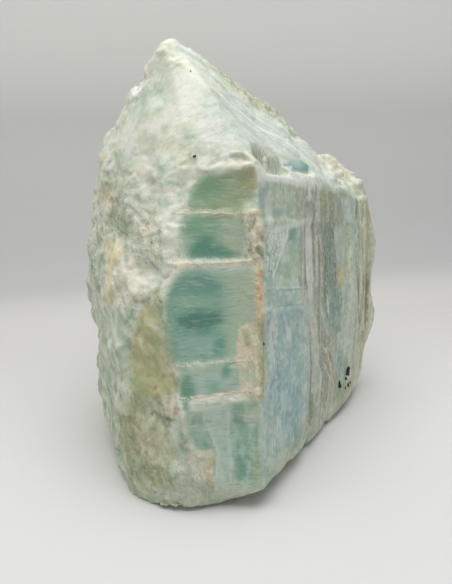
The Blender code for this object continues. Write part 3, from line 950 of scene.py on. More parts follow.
PRISM_PATCHES = {
    # name: (corners along the face and up the axis, colour, strength, softness)
    "blue slab": (((-2, 63), (27, 63), (34, 56), (40, 46), (44, 8), (-2, 6)), BLUE, 0.65, 1.5),
    "blue core": (((7, 56), (18, 56), (22, 40), (24, 16), (12, 20), (6, 34)), BLUE_HEART, 0.55, 3),
    "blue spot": (((4.5, 41), (11.5, 40), (12, 32), (5, 32)), BLUE_HEART * 0.7, 0.7, 2),
    "blue right": (((15.5, 30.5), (27, 32), (28, 12), (15, 12)), BLUE_HEART * 0.88, 0.5, 2.5),
    "low light": (((3, 24.5), (14, 22.5), (13.5, 13), (3.5, 13)), FROST * 0.95, 0.4, 2.5),
    "side light": (((27, 62), (33, 60), (39, 46), (41, 24), (34, 26)), FROST * 0.5 + SEA_GREEN * 0.5, 0.6,
        2),
    "white flecks": (((4, 60), (10, 58), (9, 45), (4, 44)), MILK, 0.35, 2),
    "white fleck": (((17, 55.5), (20, 55), (20, 51), (17, 51)), MILK, 0.6, 1),
    "green foot": (((2, 12), (34, 14), (44, 20), (62, 20), (46, 10), (20, 2), (2, 2)),
        OLIVE * 0.5 + GREY_GREEN * 0.5, 0.55, 3),
    "break panel": (((5, 70), (28, 69.5), (28, 63.5), (4.5, 63)), BLUE * 0.6 + GREY_GREEN * 0.4, 0.75, 1),
    "top slab": (((0, 108), (28, 110), (27.5, 94), (4, 91.5), (0.5, 97.5)), GREY_GREEN * 0.93, 0.75, 1),
    "top blue": (((0.5, 106), (5.5, 106), (5.5, 99), (1.5, 98)), BLUE * 0.82, 0.75, 1),
    "top teal": (((14.5, 102.5), (21, 102), (22, 97.5), (16, 97)), TEAL * 0.82, 0.6, 1.5),
    "top frost": (((4.5, 99.5), (9.5, 100), (10, 92.5), (4, 92)), FROST * 1.05, 0.85, 1),
    "top grey": (((28, 111), (37, 111), (36, 95.5), (27.5, 94)), BROWN_GREY * 0.5 + GREY * 0.5, 0.75, 1),
    "upper grey": (((37, 111), (46.5, 111.5), (44.5, 95.5), (36, 95.5)), BROWN_GREY * 0.85 + GREY * 0.1,
        0.75, 1),
    "white lumps": (((36, 110), (40.5, 109), (40.5, 104), (38, 102)), MILK * 0.95, 0.8, 0.6),
    "white lump": (((36.5, 97.5), (41, 96.5), (41.5, 94), (37, 94)), FROST * 1.05, 0.8, 0.7),
    "frost field": (((3.5, 91), (20, 91), (18.5, 88), (14, 84), (3.5, 84)), FROST * 1.05, 0.8, 0.7),
    "dusty field": (((3.5, 87), (12, 87), (11, 81), (4, 80)), BLUE * 0.8, 0.7, 1.2),
    "low frost": (((3.5, 81), (14, 82.5), (10.5, 78), (9.5, 74.5), (4, 75)), FROST * 1.05, 0.85, 0.7),
    "dark wedge": (((20.5, 92), (25.5, 92), (24.5, 87.5), (19.5, 84), (12, 76), (11, 74), (19.5, 86)),
        TEAL * 0.66, 0.65, 0.7),
    "smooth panel": (((25, 88), (29.5, 87), (28, 70.5), (11, 70.5), (12, 77.5), (18.5, 86)),
        GREY_GREEN * 0.85 + TEAL * 0.35, 0.75, 1),
    "grey groove": (((28, 94), (34.5, 94), (34.5, 76.5), (33.5, 69), (34.5, 62), (28, 62)), GREY * 0.85,
        0.85, 0.8),
    "groove shade": (((33, 94), (36.5, 94), (34.5, 68), (32, 70)), BROWN_GREY * 0.66, 0.75, 0.7),
    "light column": (((37, 96), (41, 96), (43.5, 88), (43.5, 63), (46.5, 38), (52, 29), (54, 22), (45, 19),
        (43.5, 22), (41.5, 34), (41, 47), (36, 58), (35, 66)), VIOLET_GREY * 0.5 + GREY * 0.55, 0.95, 0.8),
    "column light": (((37.5, 96), (40.5, 96), (43, 88), (43, 66), (36.5, 64), (36, 80)), VIOLET_GREY * 1.4,
        0.8, 0.7),
    "brown column": (((43, 96), (48, 94), (48, 85), (50.5, 77), (49, 69), (54, 50), (60, 42), (71, 31),
        (71, 24), (58, 18), (46.5, 38), (43.5, 63)), BROWN_GREY * 0.85, 0.85, 0.8),
    "teal band": (((47.5, 93), (61.5, 93), (62.5, 85), (65.5, 75.5), (66.5, 66), (70, 57), (71, 49),
        (64, 48), (57, 51), (53, 60), (50, 70), (50.5, 77.5), (48, 84)), BAND_GREEN * 0.8, 0.9, 0.9),
    "band foot": (((53, 64.5), (57, 67), (68, 66), (71, 51), (64, 49.5), (54.5, 55)), TEAL * 0.85, 0.7,
        1.2),
    "olive block": (((47, 110.5), (66, 111.5), (74, 110), (78, 104), (68.5, 93.5), (46, 93.5)),
        GREY_GREEN * 0.6 + OLIVE * 0.15, 0.85, 2),
    "olive heart": (((48, 108.5), (58, 109), (60, 100), (57, 95), (48.5, 97)),
        MID_GREEN * 0.35 + OLIVE * 0.32, 0.8, 2.5),
    "ochre spot": (((49.5, 107), (53, 107.5), (55, 105), (53, 102.5), (49.5, 102)), YELLOW * 0.8, 0.7, 1.6),
    "block shade": (((46, 97), (62, 96), (62, 92), (46, 92)), BAND_GREEN * 0.8, 0.45, 2),
    "block light": (((66, 106), (77.5, 106), (79, 97), (69, 95)), PALE_AQUA * 0.95, 0.75, 1.8),
    "fan top": (((55, 50), (66, 50), (69, 43.5), (58.5, 43)), OLIVE * 0.8, 0.65, 1),
    "pale slab": (((62.5, 94), (74, 94.5), (82, 60), (88, 47), (86, 34), (79, 22), (74, 27), (76, 36),
        (70, 44), (72.5, 50), (70.5, 60), (65.5, 78)), GREY_GREEN * 0.6 + FROST * 0.36, 0.85, 1),
    "low teal": (((63, 43), (70, 43), (78, 35), (77, 26), (72, 28)), TEAL * 0.85, 0.6, 1.2),
    "yellow glow": (((64.5, 76), (69, 76.5), (72.5, 72), (69.5, 67), (64.5, 67.5)),
        YELLOW * 0.6 + SAND * 0.3, 0.6, 2.5),
    "yellow spot": (((66, 74), (69, 74.5), (70.5, 71.5), (69, 69), (66, 69.5)), YELLOW, 0.8, 1.4),
    "olive dot": (((73, 94), (76, 94), (76, 88), (73, 88)), OLIVE * 0.8, 0.7, 1.2),
    "olive veil": (((70, 84), (76, 84), (78, 74), (72, 72)), SAND * 0.5 + OLIVE * 0.4, 0.4, 2),
    "base fade": (((42.5, 22), (48, 29), (68.5, 25), (86, 26), (82, 17.5), (44, 10)),
        OLIVE * 0.45 + GREY_GREEN * 0.38, 0.8, 3),
    "far ochre": (((94, 101), (99, 101), (99, 96), (94, 96)), RUST * 0.9, 0.7, 1),
    "far dot": (((95, 70.5), (98.5, 70), (98.5, 63.5), (95.5, 64)), OLIVE * 0.8, 0.75, 0.8),
    "far yellow": (((95.5, 42), (100, 42), (100, 33), (96, 33)), YELLOW * 0.9, 0.8, 1),
}

# %% Lay the slabs, their streaks and their frost
far = prism * ramp(76, 86, ALONG)
lay(far, GREY_GREEN * 0.68 + SAND * 0.32, 0.9)
lay_patches(ON_PRISM, prism, PRISM_PATCHES, 0.35)
lay_where((
    (far, wide_streak + 0.3 * WOBBLE_2 / 3, 0.05, 0.3, CREAM, 0.45),
    (far, -wide_streak + 0.3 * WOBBLE / 3, 0.05, 0.3, OLIVE * 0.85, 0.55),
))
streaky = prism * ramp(26, 34, ALONG)
lay_where((
    (streaky, streak + 0.5 * wide_streak, 0.1, 0.5, MILK, 0.25),
    (streaky, -streak - 0.5 * wide_streak, 0.1, 0.5, GREY * 0.6, 0.25),
    (prism, frosting, 0.05, 0.4, MILK, 0.22),
    (prism, -frosting, 0.05, 0.4, TEAL * 0.8, 0.18),
))
near_side = prism * ramp(36, 30, ALONG)
speckled = prism * patch(ON_PRISM, ((2.5, 60), (12, 58), (16, 43), (12, 32), (3, 30)), 2.0)
lay_where((
    (speckled, drift(1.7, 241.0), 0.15, 0.4, MILK, 0.5),
    (speckled, drift(2.2, 251.0), 0.15, 0.4, BLUE_HEART * 0.6, 0.45),
))
clouds = drift(5.5, 211.0) + 0.5 * drift(2.6, 221.0)
lay_where((
    (near_side, clouds, 0.05, 0.35, FROST, 0.35),
    (near_side, -clouds, 0.05, 0.35, TEAL * 0.8, 0.28),
))
FROSTED_FIELDS = ("frost field", "dusty field", "low frost")
frosted = np.max([patch(ON_PRISM, PRISM_PATCHES[name][0], 1.5) for name in FROSTED_FIELDS], axis=0)
lay_where((
    (prism * frosted, frosting, 0.05, 0.3, MILK, 0.35),
    (prism * frosted, -frosting, 0.1, 0.35, TEAL * 0.8, 0.4),
))

# %% Course the fine lines
PRISM_THREADS = {
    # name: (course, colour, strength, half width)
    "main crack": (GROOVES["main crack"][0], BROWN_GREY * 0.55, 0.5, 0.45),
    "second crack": (GROOVES["second crack"][0], BROWN_GREY * 0.6, 0.45, 0.4),
    "groove line": (((30.8, 94), (31, 84), (29.5, 70)), BROWN_GREY * 0.7, 0.45, 0.4),
    "slab top": (((3, 91.5), (13.5, 91.5), (24, 93), (36, 95.5)), MILK, 0.35, 0.8),
    "upper fracture": (((4, 70.8), (28, 69.8)), FROST, 0.35, 0.5),
    "under it": (((4, 70), (28, 69)), TEAL * 0.6, 0.4, 0.4),
    "lower fracture": (((3, 62.3), (10, 63.6), (22, 63.6), (30, 63.2)), TEAL * 0.55, 0.4, 0.4),
    "wedge edge": (((20, 91.5), (19, 88), (11, 77.5), (9.5, 74.5)), MILK * 1.05, 0.5, 0.7),
    "white stria": (((46.5, 62), (48.5, 56), (49.5, 50), (55.5, 42.5)), MILK, 0.75, 0.4),
    "fan line": (((49, 44), (59, 32), (66, 24.5)), CREAM, 0.7, 0.4),
    "fan line 2": (((52.5, 43.5), (60, 33.5), (66.8, 25)), RUST * 0.75, 0.65, 0.4),
    "fan line 3": (((56, 42.5), (67.8, 25.5)), CREAM, 0.7, 0.4),
    "fan line 4": (((57.5, 42), (64, 34), (69, 26.5)), BROWN_GREY * 0.5, 0.6, 0.4),
    "fan line 5": (((59, 42), (67, 33.5), (70.5, 27.5)), ORANGE, 0.65, 0.4),
    "cream stria": (((46.5, 89), (47.5, 82), (48, 70)), CREAM, 0.7, 0.35),
    "brown stria": (((47.5, 82), (49.2, 76), (49, 68)), BROWN * 0.8, 0.75, 0.3),
    "brown stria 2": (((45, 92), (45.5, 80), (45.5, 66)), BROWN_GREY * 0.55, 0.5, 0.35),
    "band edge": (GROOVES["band edge"][0], FROST, 0.65, 0.35),
    "band fleck": (((55, 65), (56, 58)), MILK, 0.6, 0.35),
    "far brown": (GROOVES["slab edge"][0], BROWN * 0.9, 0.55, 0.45),
    "far brown 2": (GROOVES["far slab"][0], BROWN_GREY * 0.7, 0.5, 0.45),
    "far brown 3": (((95.5, 76), (97, 58), (97, 44)), BROWN, 0.6, 0.5),
    "far white": (((83, 76.5), (89, 66), (94, 55), (97, 47)), MILK, 0.65, 0.5),
    "far white 2": (((76.5, 88), (80.5, 66), (86.5, 50)), FROST, 0.5, 0.4),
    "far white 3": (((98, 92), (100.5, 60)), CREAM, 0.55, 0.8),
    "base rim": (((10, 5.3), (23, 7), (43, 11), (50, 13.5), (72.5, 17.5), (97, 24)),
        CREAM * 0.8 + OLIVE * 0.15, 0.3, 1.3),
}

# %% Paint the rim and the pockets
rim_height = PRISM_UP + 0.4 * WOBBLE + 0.03 * ALONG
white_rim = facing_prism * ramp(108, 109.5, rim_height + 0.3 * WOBBLE_2) * ramp(114, 112, rim_height)
lay_where((
    (white_rim, ALONG, 58, 30, MILK, 0.8),
    (white_rim, ALONG, 30, 58, PALE_AQUA * 0.95, 0.6),
))
in_pockets = {name: ramp(-0.3, 0.3, mask - 0.5) for name, mask in pockets.items()}
lay(in_pockets["fibrous pocket"], GREY_GREEN * 0.85, 0.9)
lay_where((
    (in_pockets["fibrous pocket"], frosting, 0.0, 0.3, FROST, 0.5),
    (in_pockets["fibrous pocket"], ALONG, 14, 9, BROWN_GREY, 0.35),
))
lay(patch(ON_PRISM, ((25, 111), (28.5, 111), (28.5, 124), (25.5, 124)), 0.8) * facing_prism, MILK * 0.9, 0.8)
lay(in_pockets["glassy pocket"], TURQUOISE * 0.72, 0.95)
lay_where((
    # Painted highlight: a paler, milky middle in the glassy pocket.
    (in_pockets["glassy pocket"], np.hypot(ALONG - 38.5, 1.3 * (PRISM_UP - 119)), 6.5, 2, MILK, 0.3),
    (in_pockets["glassy pocket"], ALONG, 31, 28.5, DEEP_TEAL * 1.1, 0.6),
    (in_pockets["glassy pocket"], PRISM_UP + 0.3 * WOBBLE, 115, 114.2, PINK_CREAM * 0.75, 0.6),
))
print("patches on the prism face:", len(PRISM_PATCHES), "and threads:", len(PRISM_THREADS))

# %% [markdown]
# ### The glassy front
#
# The front blocks are clearer than the rest, so deep green shows in their middles. Towards the ridge they are
# grey, partly veils and partly a painted soft reflection. Below them lies a block that is split lengthways
# into columns.

# %% Outline the patches in the glassy blocks
lay(window, SEA_GREEN * 0.5 + GREY_GREEN * 0.5, 1.0)
FRONT_PATCHES = {
    # name: (corners, colour, strength, softness)
    "first, green": (((24, 108), (10, 111), (8, 98), (26, 97)), LEAF_GREEN, 0.85, 3),
    "first, heart": (((20.5, 108.5), (13, 109.5), (11.5, 105), (18, 102.5), (21.5, 103.5)),
        LEAF_GREEN * 0.72, 0.7, 2.5),
    "first, olive": (((11, 113), (2, 114), (1, 98), (12, 98)), OLIVE * 0.75 + GREY_GREEN * 0.15, 0.65, 4),
    "first, ochre": (((5, 113), (0.5, 114), (0.5, 106), (3.5, 105)), RUST * 0.5 + OLIVE * 0.4, 0.5, 2.5),
    "first, foot": (((24, 100.5), (11, 101.5), (2.5, 100.5), (3, 97), (24.5, 97)),
        OLIVE * 0.6 + GREY_GREEN * 0.4, 0.5, 1.5),
    "second, green": (((27, 94), (23, 96.5), (15, 96), (13, 90), (26, 87)), LEAF_GREEN * 0.5 + TEAL * 0.4,
        0.85, 3),
    # Grey towards the ridge: a veil, and partly a painted soft reflection.
    "second, grey veil and painted reflection": (((12.5, 94), (4, 95), (4, 81), (11, 81)), GREY_GREEN * 0.85, 0.8, 4),
    "second, olive": (((24, 98), (3, 98), (4.5, 94.5), (15, 94.8)), OLIVE * 0.8, 0.5, 1.5),
    "second, deep": (((25, 85), (22, 89), (18, 89.3), (7.5, 83), (11, 81), (24, 81)), DEEP_TEAL, 0.95, 2.2),
    "third, field": (((33.5, 71), (31, 75), (21, 77.5), (15, 76), (12.5, 73), (12, 45), (32, 45)),
        TEAL * 0.97, 0.9, 3.4),
    "third, arch": (((31, 70.5), (30.5, 73.5), (26.5, 75.7), (19.5, 76), (13.5, 73.5), (12.5, 70.5),
        (20, 69.5)), TEAL * 0.76, 0.75, 1.6),
    "third, streaks": (((31, 68), (12.5, 67.2), (12.5, 64.8), (30, 65.3)), SEA_GREEN * 0.85 + SAND * 0.1,
        0.55, 1.3),
    "third, core": (((29, 62), (22, 63.8), (14.5, 63), (13, 59.5), (18.5, 56.5), (24, 56.5), (29, 59)),
        DEEP_TEAL * 0.86, 0.95, 2),
    "third, pool": (((29.5, 55.5), (15.5, 54), (15.5, 48), (29, 46.5)), PALE_AQUA * 0.35 + TEAL * 0.6, 0.75,
        2.2),
    "third, right spot": (((15.5, 53), (12.5, 55), (12.5, 50.5), (16.5, 48.5)), DEEP_TEAL * 1.1, 0.7, 1.4),
    # Grey towards the ridge: a veil, and partly a painted soft reflection.
    "third, veil and painted reflection": (((9, 77.5), (1, 78), (0.8, 60), (6, 57)), GREY_GREEN * 0.93, 0.85, 3.6),
    "third, top veil": (((28, 80), (4, 80), (4, 77.5), (14, 77)), FROST * 0.95, 0.7, 1.2),
    "fourth, pale": (((24, 42), (9, 44), (8.5, 36), (23, 34.5)), PALE_AQUA * 0.6 + TEAL * 0.35, 0.8, 1.4),
    "fourth, square": (((15, 44.5), (11, 45), (10.5, 40.5), (14, 40)), DEEP_TEAL * 1.1, 0.8, 1.5),
    "fourth, square 2": (((19, 39.5), (14.5, 39), (14.5, 35.5), (18, 35)), TEAL, 0.7, 1.8),
    "fourth, column": (((29, 41), (25, 42), (24, 34), (27, 29), (29.5, 27)), DEEP_TEAL, 0.8, 1.5),
    "bruise": (((26, 32.5), (11, 34.8), (1.5, 35.3), (1, 32.2), (12, 31.5), (25.5, 29.3)), MILK * 0.8, 0.85,
        1.1),
    "rubble": (((9.5, 36), (1.5, 35), (1.5, 21), (7, 21), (9.5, 28)), CREAM * 0.4 + FROST * 0.4, 0.42, 3.0),
    "rubble hole": (((10.5, 31), (7, 31.5), (6.5, 28.5), (10, 28)), DEEP_TEAL * 1.1, 0.65, 1.2),
    "rubble hole 2": (((6, 32), (0.5, 32), (0.5, 29), (5, 28.5)), DEEP_TEAL * 1.2, 0.5, 1.3),
    "rubble hole 3": (((11, 25.8), (7.5, 25.8), (7, 22.5), (11, 22.3)), DEEP_TEAL, 0.75, 1),
    "left facet": (((25.5, 27), (21, 27.5), (17.5, 15.5), (22.5, 16), (26, 20)), SEA_GREEN * 0.85, 0.8,
        1.2),
    "pillar": (((20.5, 29), (12.5, 30), (11, 11.5), (11.5, 2), (16.5, 1), (16, 12)),
        PALE_AQUA * 0.7 + TEAL * 0.25, 0.85, 0.9),
    "right block": (((11.5, 23), (1, 22.5), (0.2, 12), (2, 1), (10, 1)), SEA_GREEN * 0.62 + TEAL * 0.36,
        0.85, 0.9),
    "block deep": (((10, 13), (3.5, 14), (3, 5), (8.5, 3)), TEAL * 0.85, 0.6, 1.8),
    "block olive": (((4, 16), (0.5, 16.5), (0, 2), (3.5, 3.5)), OLIVE * 1.1, 0.5, 1.5),
    "dark spot": (((22.5, 20), (19, 19.5), (18.5, 15.5), (21, 15)), DEEP_TEAL * 1.1, 0.7, 1.3),
    "front foot": (((17, 3), (7, 4), (2, 2), (8, -6), (16, -3)), PALE_AQUA * 0.75 + SAND * 0.2, 0.6, 1.5),
}

# %% Lay the front's patches and shards
FRONT_LINES = {
    "bar line": (((24.5, 32.8), (9, 34.6)), PINK_CREAM, 0.5, 0.5),
    "column edge": (((12.5, 29.5), (12, 21.5), (11, 11.5), (11.5, 3)), FROST, 0.5, 0.4),
    "split": (((21, 27.5), (18.5, 22), (15.5, 13), (16.5, 5)), FROST, 0.75, 0.45),
    "dark split": (((19.5, 22), (16.6, 13), (17.5, 6)), DARK_GREEN * 1.2, 0.35, 0.4),
}
lay_patches(ON_FRONT, panel * ramp(0.0, 0.3, window), FRONT_PATCHES, 0.7)
split_foot = window * ramp(30, 26, PANEL_UP)
shards = drawn_out(1.8, 3.0, AXIS, 231.0)
lay_where((
    (split_foot, shards, 0.1, 0.4, PALE_AQUA, 0.4),
    (split_foot, -shards, 0.1, 0.4, DEEP_TEAL, 0.35),
    (split_foot, fine_grain, 0.05, 0.3, FROST, 0.3),
    (panel * patch(ON_FRONT, FRONT_PATCHES["bruise"][0], 1.5), -fine_grain, 0.1, 0.3, GREY_GREEN * 0.9, 0.6),
))
lay_lines(ON_FRONT, panel, FRONT_LINES)

# %% Soften the edges of the glassy blocks
soft_edge = ((34.5, 69), (34.5, 63.5), (34, 58), (33, 53), (32, 47.5))
lay(facing_panel * ramp(3.5, 0.5, from_course(ON_FRONT, soft_edge)), TAN * 0.55 + LEAF_GREEN * 0.4, 0.6)
rim_course = ((28.5, 80), (31.5, 76.5), (35, 71), (36, 67.5))
lay_where((
    (facing_panel, from_course(ON_FRONT, rim_course), 4.6, 0.2, CREAM * 0.35 + MILK * 0.6, 0.85),
    (facing_front, np.hypot(ACROSS - 31.5, PANEL_UP - 77.5), 3.0, 1.0, CREAM * 0.3 + MILK * 0.65, 0.8),
))
under_lip = ((29, 80.2), (4, 80.4), (4, 79.2), (20, 78.8), (29, 78))
lay(on_front * patch(ON_FRONT, under_lip, 0.5), PINK_CREAM, 0.5)
print("patches on the front:", len(FRONT_PATCHES))

# %% [markdown]
# ### The crust
#
# Clay is cream and pink, iron stains it orange, and its pits are painted dark: the crust's dark specks, and
# painted shade in the pits. The pits steer that dark colour, so that paint and relief agree. The knobbly
# shoulder at the back gets the same cream, with a brown-grey mottle over it as painted shade among its knobs.

# %% Paint the crust
lay(crust, CREAM * 0.72 + GREY_GREEN * 0.25, 0.8)
lay(heavy_crust, PINK_CREAM * 0.9, 0.6)
lay_where((
    (crust, fine_grain, 0.1, 0.35, MILK, 0.4),
    (heavy_crust, middle + 0.4 * grain, 0.0, 0.3, ORANGE * 0.95, 0.6),
    (crust, -grain - 0.4 * fine_grain, 0.1, 0.35, OLIVE * 0.8, 0.6),
))
# Dark specks and painted shade: the crust's pits are painted dark green.
lay(heavy_crust * pits, DARK_GREEN, 0.8)

# %% Stains and cracks on the crust
CRUST_PATCHES = {
    "orange thread": (((2, 77), (-2, 77), (-2, 60), (1, 60)), ORANGE, 0.8, 0.6),
    "beige block": (((9.3, 58), (1.5, 59.5), (1.5, 34), (8, 34.5)), CREAM * 0.9, 0.8, 0.7),
    "beige olive": (((6.5, 56), (3.8, 56), (3.8, 50.5), (6, 50.5)), OLIVE * 0.95, 0.7, 0.9),
    "tan thread": (((1.8, 60), (-2, 58), (-2, 34), (0.6, 34)), TAN * 0.9, 0.8, 0.7),
    "teal stain": (((9, 44), (3, 43), (3, 38), (9, 38)), SEA_GREEN, 0.4, 1.5),
}
CRUST_CRACKS = {
    "open crack": (((3.6, 94), (2.6, 92.5), (3.6, 91)), DARK_GREEN * 0.8, 0.85, 0.6),
    "open crack 2": (((5.2, 90), (3.4, 87), (3, 84.5), (4.2, 82.5)), DARK_GREEN * 0.8, 0.75, 0.6),
    "ridge line": (((-0.4, 60), (-0.8, 46), (-0.4, 34)), OLIVE * 0.8, 0.5, 0.5),
}
lay_patches(ON_FRONT, crust, CRUST_PATCHES)
lay_lines(ON_FRONT, crust, CRUST_CRACKS)
lay(shoulder, CREAM * 0.45 + MILK * 0.55, 0.7)
# Painted shade: a brown-grey mottle over the knobbly shoulder stands for the shade among its knobs.
lay(shoulder * ramp(0.1, 0.3, -fine_grain - 0.5 * grain), BROWN_GREY, 0.55)
print("the crust covers", round(100 * crust.mean(), 1), "% of the points")

# %% [markdown]
# ## Paint and masks on the mesh
#
# The finished paint goes on the mesh as a colour attribute, and the masks as values, so the material can read
# both. For each fine line the mesh keeps the distance to one side of it, and for each fracture the height
# above it: the material turns a distance into a line that is thinner than the mesh's own quads.

# %% Store the colours
def keep_colours(name, colours):
    layer = block.data.color_attributes.new(name, "FLOAT_COLOR", "POINT")
    rows = np.concatenate((np.clip(colours, 0, 1), np.ones((len(colours), 1))), axis=1)
    layer.data.foreach_set("color", rows.astype(np.float32).ravel())


keep_colours("stone_colour", PAINT)
keep_values("glassy", window * (1 - 0.85 * crust))
QUIET_FIELDS = ("white field", "pink field", "pale field", "yellow streak", "tan zone", "left pale")
quiet = np.max([patch(ON_FRONT, FLANK_PATCHES[name][0], 2.0) for name in QUIET_FIELDS], axis=0)
busy = (1 - 0.75 * quiet * facing_front) * (1 - 0.4 * ramp(60, 35, POINTS[:, 2]) * facing_front)
keep_values("rough", np.clip(rough + 0.6 * crust, 0, 1) * (1 - 0.9 * high * (1 - rim)) * busy)
keep_values("frosted", prism * frosted)
keep_values("blue side", prism * ramp(64, 60, PRISM_UP) * ramp(44, 38, ALONG))
keep_values("prism", prism * (1 - crust))
keep_values("on_front", on_front * ramp(0.5, 2.5, ACROSS))
keep_values("brow", np.clip(rough, 0, 1) * high * (1 - top_break))
keep_values("top", top_break * (1 - rim) * rough)
keep_values("fibrous", in_pockets["fibrous pocket"])
for name, (course, *_) in PRISM_THREADS.items():
    keep_values("beside " + name, np.clip(offset_from(ON_PRISM, course), -9, 9))
for name, height in above.items():
    keep_values("above " + name, np.clip(height, -9, 9))
print("average colour:", PAINT.mean(axis=0).round(3))

# %% [markdown]
# ## Shader groups
#
# Three effects are used again and again, so each is a node group with named inputs. Mottle breaks a colour up
# with fine noise. Fibres does the same with noise that is drawn out along an axis, and flecks with angular
# cells, as the small flats of broken crystal make them.

# %% Helpers for shaders
def shader_group(name, inputs, outputs):
    tree = bpy.data.node_groups.new(name, "ShaderNodeTree")
    add_sockets(tree, inputs, outputs)
    return tree, tree.nodes.new("NodeGroupInput").outputs, tree.nodes.new("NodeGroupOutput")


def mix_colours(tree, share, first, second):
    made = tree.nodes.new("ShaderNodeMix")
    made.data_type = "RGBA"
    put(tree, share, made.inputs["Factor"])
    put(tree, first, made.inputs["A"])
    put(tree, second, made.inputs["B"])
    return made.outputs["Result"]


def smooth_range(tree, value, low, high):
    made = tree.nodes.new("ShaderNodeMapRange")
    made.interpolation_type = "SMOOTHSTEP"
    put(tree, value, made.inputs["Value"])
    put(tree, low, made.inputs["From Min"])
    put(tree, high, made.inputs["From Max"])
    return made.outputs["Result"]

# %% Mottle
def mottle_group():
    """Small patches of light and dark, at a size in millimetres."""
    tree, start, end = shader_group(
        "mottle",
        {"Vector": "Vector", "Size": 2.0, "Low": 0.4, "High": 0.6,
         "Bend": 0.6},
        {"Mask": "Float"},
    )
    place = vector_maths(tree, "SCALE", start["Vector"], 1 / MM)
    texture = node(tree, "ShaderNodeTexNoise",
                   {"Vector": place, "Scale": maths(tree, "DIVIDE", 1.0, start["Size"]), "Detail": 4.0,
                    "Roughness": 0.6, "Distortion": start["Bend"]})
    tree.links.new(smooth_range(tree, texture.outputs[0], start["Low"], start["High"]), end.inputs["Mask"])
    return tree

# %% Fibres
def fibres_group():
    """Streaks along an axis: Size across, Stretch times as long."""
    tree, start, end = shader_group(
        "fibres",
        {"Vector": "Vector", "Axis": tuple(AXIS), "Size": 0.7, "Stretch": 20.0,
         "Waver": 2.0, "Low": 0.4, "High": 0.6},
        {"Mask": "Float"},
    )
    place = vector_maths(tree, "SCALE", start["Vector"], 1 / MM)
    place = bent(tree, place, 0.08, start["Waver"])
    place = draw_out(tree, place, start["Axis"], start["Size"], start["Stretch"])
    settings = {"Vector": place, "Scale": 1.0, "Detail": 3.0, "Roughness": 0.6}
    texture = node(tree, "ShaderNodeTexNoise", settings)
    tree.links.new(smooth_range(tree, texture.outputs[0], start["Low"], start["High"]), end.inputs["Mask"])
    return tree

# %% Flecks
def flecks_group():
    """Angular flecks drawn out along an axis. Share tells how many of the cells are flecks."""
    tree, start, end = shader_group(
        "flecks",
        {"Vector": "Vector", "Axis": FLANK_WAY, "Size": 1.2, "Stretch": 2.0,
         "Waver": 1.5, "Share": 0.3},
        {"Mask": "Float"},
    )
    place = vector_maths(tree, "SCALE", start["Vector"], 1 / MM)
    place = bent(tree, place, 0.3, start["Waver"])
    place = draw_out(tree, place, start["Axis"], start["Size"], start["Stretch"])
    cells = node(tree, "ShaderNodeTexVoronoi", {"Vector": place, "Scale": 1.0})
    number = node(tree, "ShaderNodeSeparateXYZ", {0: cells.outputs["Color"]}).outputs[0]
    over_share = smooth_range(tree, number, start["Share"], maths(tree, "ADD", start["Share"], 0.04))
    tree.links.new(maths(tree, "SUBTRACT", 1.0, over_share), end.inputs["Mask"])
    return tree

# %% Make the groups and use them
MOTTLE = mottle_group()
FIBRES = fibres_group()
FLECKS = flecks_group()


def use(tree, group, inputs):
    made = tree.nodes.new("ShaderNodeGroup")
    made.node_tree = group
    for key, value in inputs.items():
        put(tree, value, made.inputs[key])
    return made.outputs["Mask"]


def linear(tint):
    return (*[float(part) for part in tint], 1.0)

# %% [markdown]
# ## The stone's material
#
# One Principled shader carries the whole block. Its colour starts from the painted patches. White bruises,
# green grains and brown specks are mixed in where the stone is rough, streaks where it is the prism face,
# and thin level veils where it is glassy. The lips of the fractures are drawn here, from the heights kept on
# the mesh. Light goes a little way into beryl, so a share of it is scattered under the surface, and a clear
# coat gives the glassy parts their gloss.

# %% The fine covers
ROUGH_COVERS = (
    # axis, size, stretch, waver, low, high, colour, strength
    (FLANK_WAY, 1.4, 2.5, 2.0, 0.50, 0.60, CREAM, 0.3),
    (FLANK_WAY, 0.5, 3.5, 2.0, 0.50, 0.62, MILK, 0.42),
    (FLANK_WAY, 0.6, 3.0, 2.0, 0.52, 0.64, MID_GREEN * 0.6, 0.36),
)
ROUGH_FLECKS = (
    # axis, size, stretch, waver, share, colour, strength
    (FLANK_WAY, 2.0, 2.4, 2.0, 0.22, MILK, 0.3),
    (FLANK_WAY, 1.7, 2.4, 2.0, 0.2, MID_GREEN * 0.75, 0.28),
    (FLANK_WAY, 0.6, 1.8, 1.0, 0.012, BROWN, 0.45),
)
WAY_OVER_THE_BROW = tuple(unit(BROW_WAY))
WAY_DOWN_THE_TOP = tuple(DOWN_THE_TOP)
WAY_UP = tuple(AXIS)
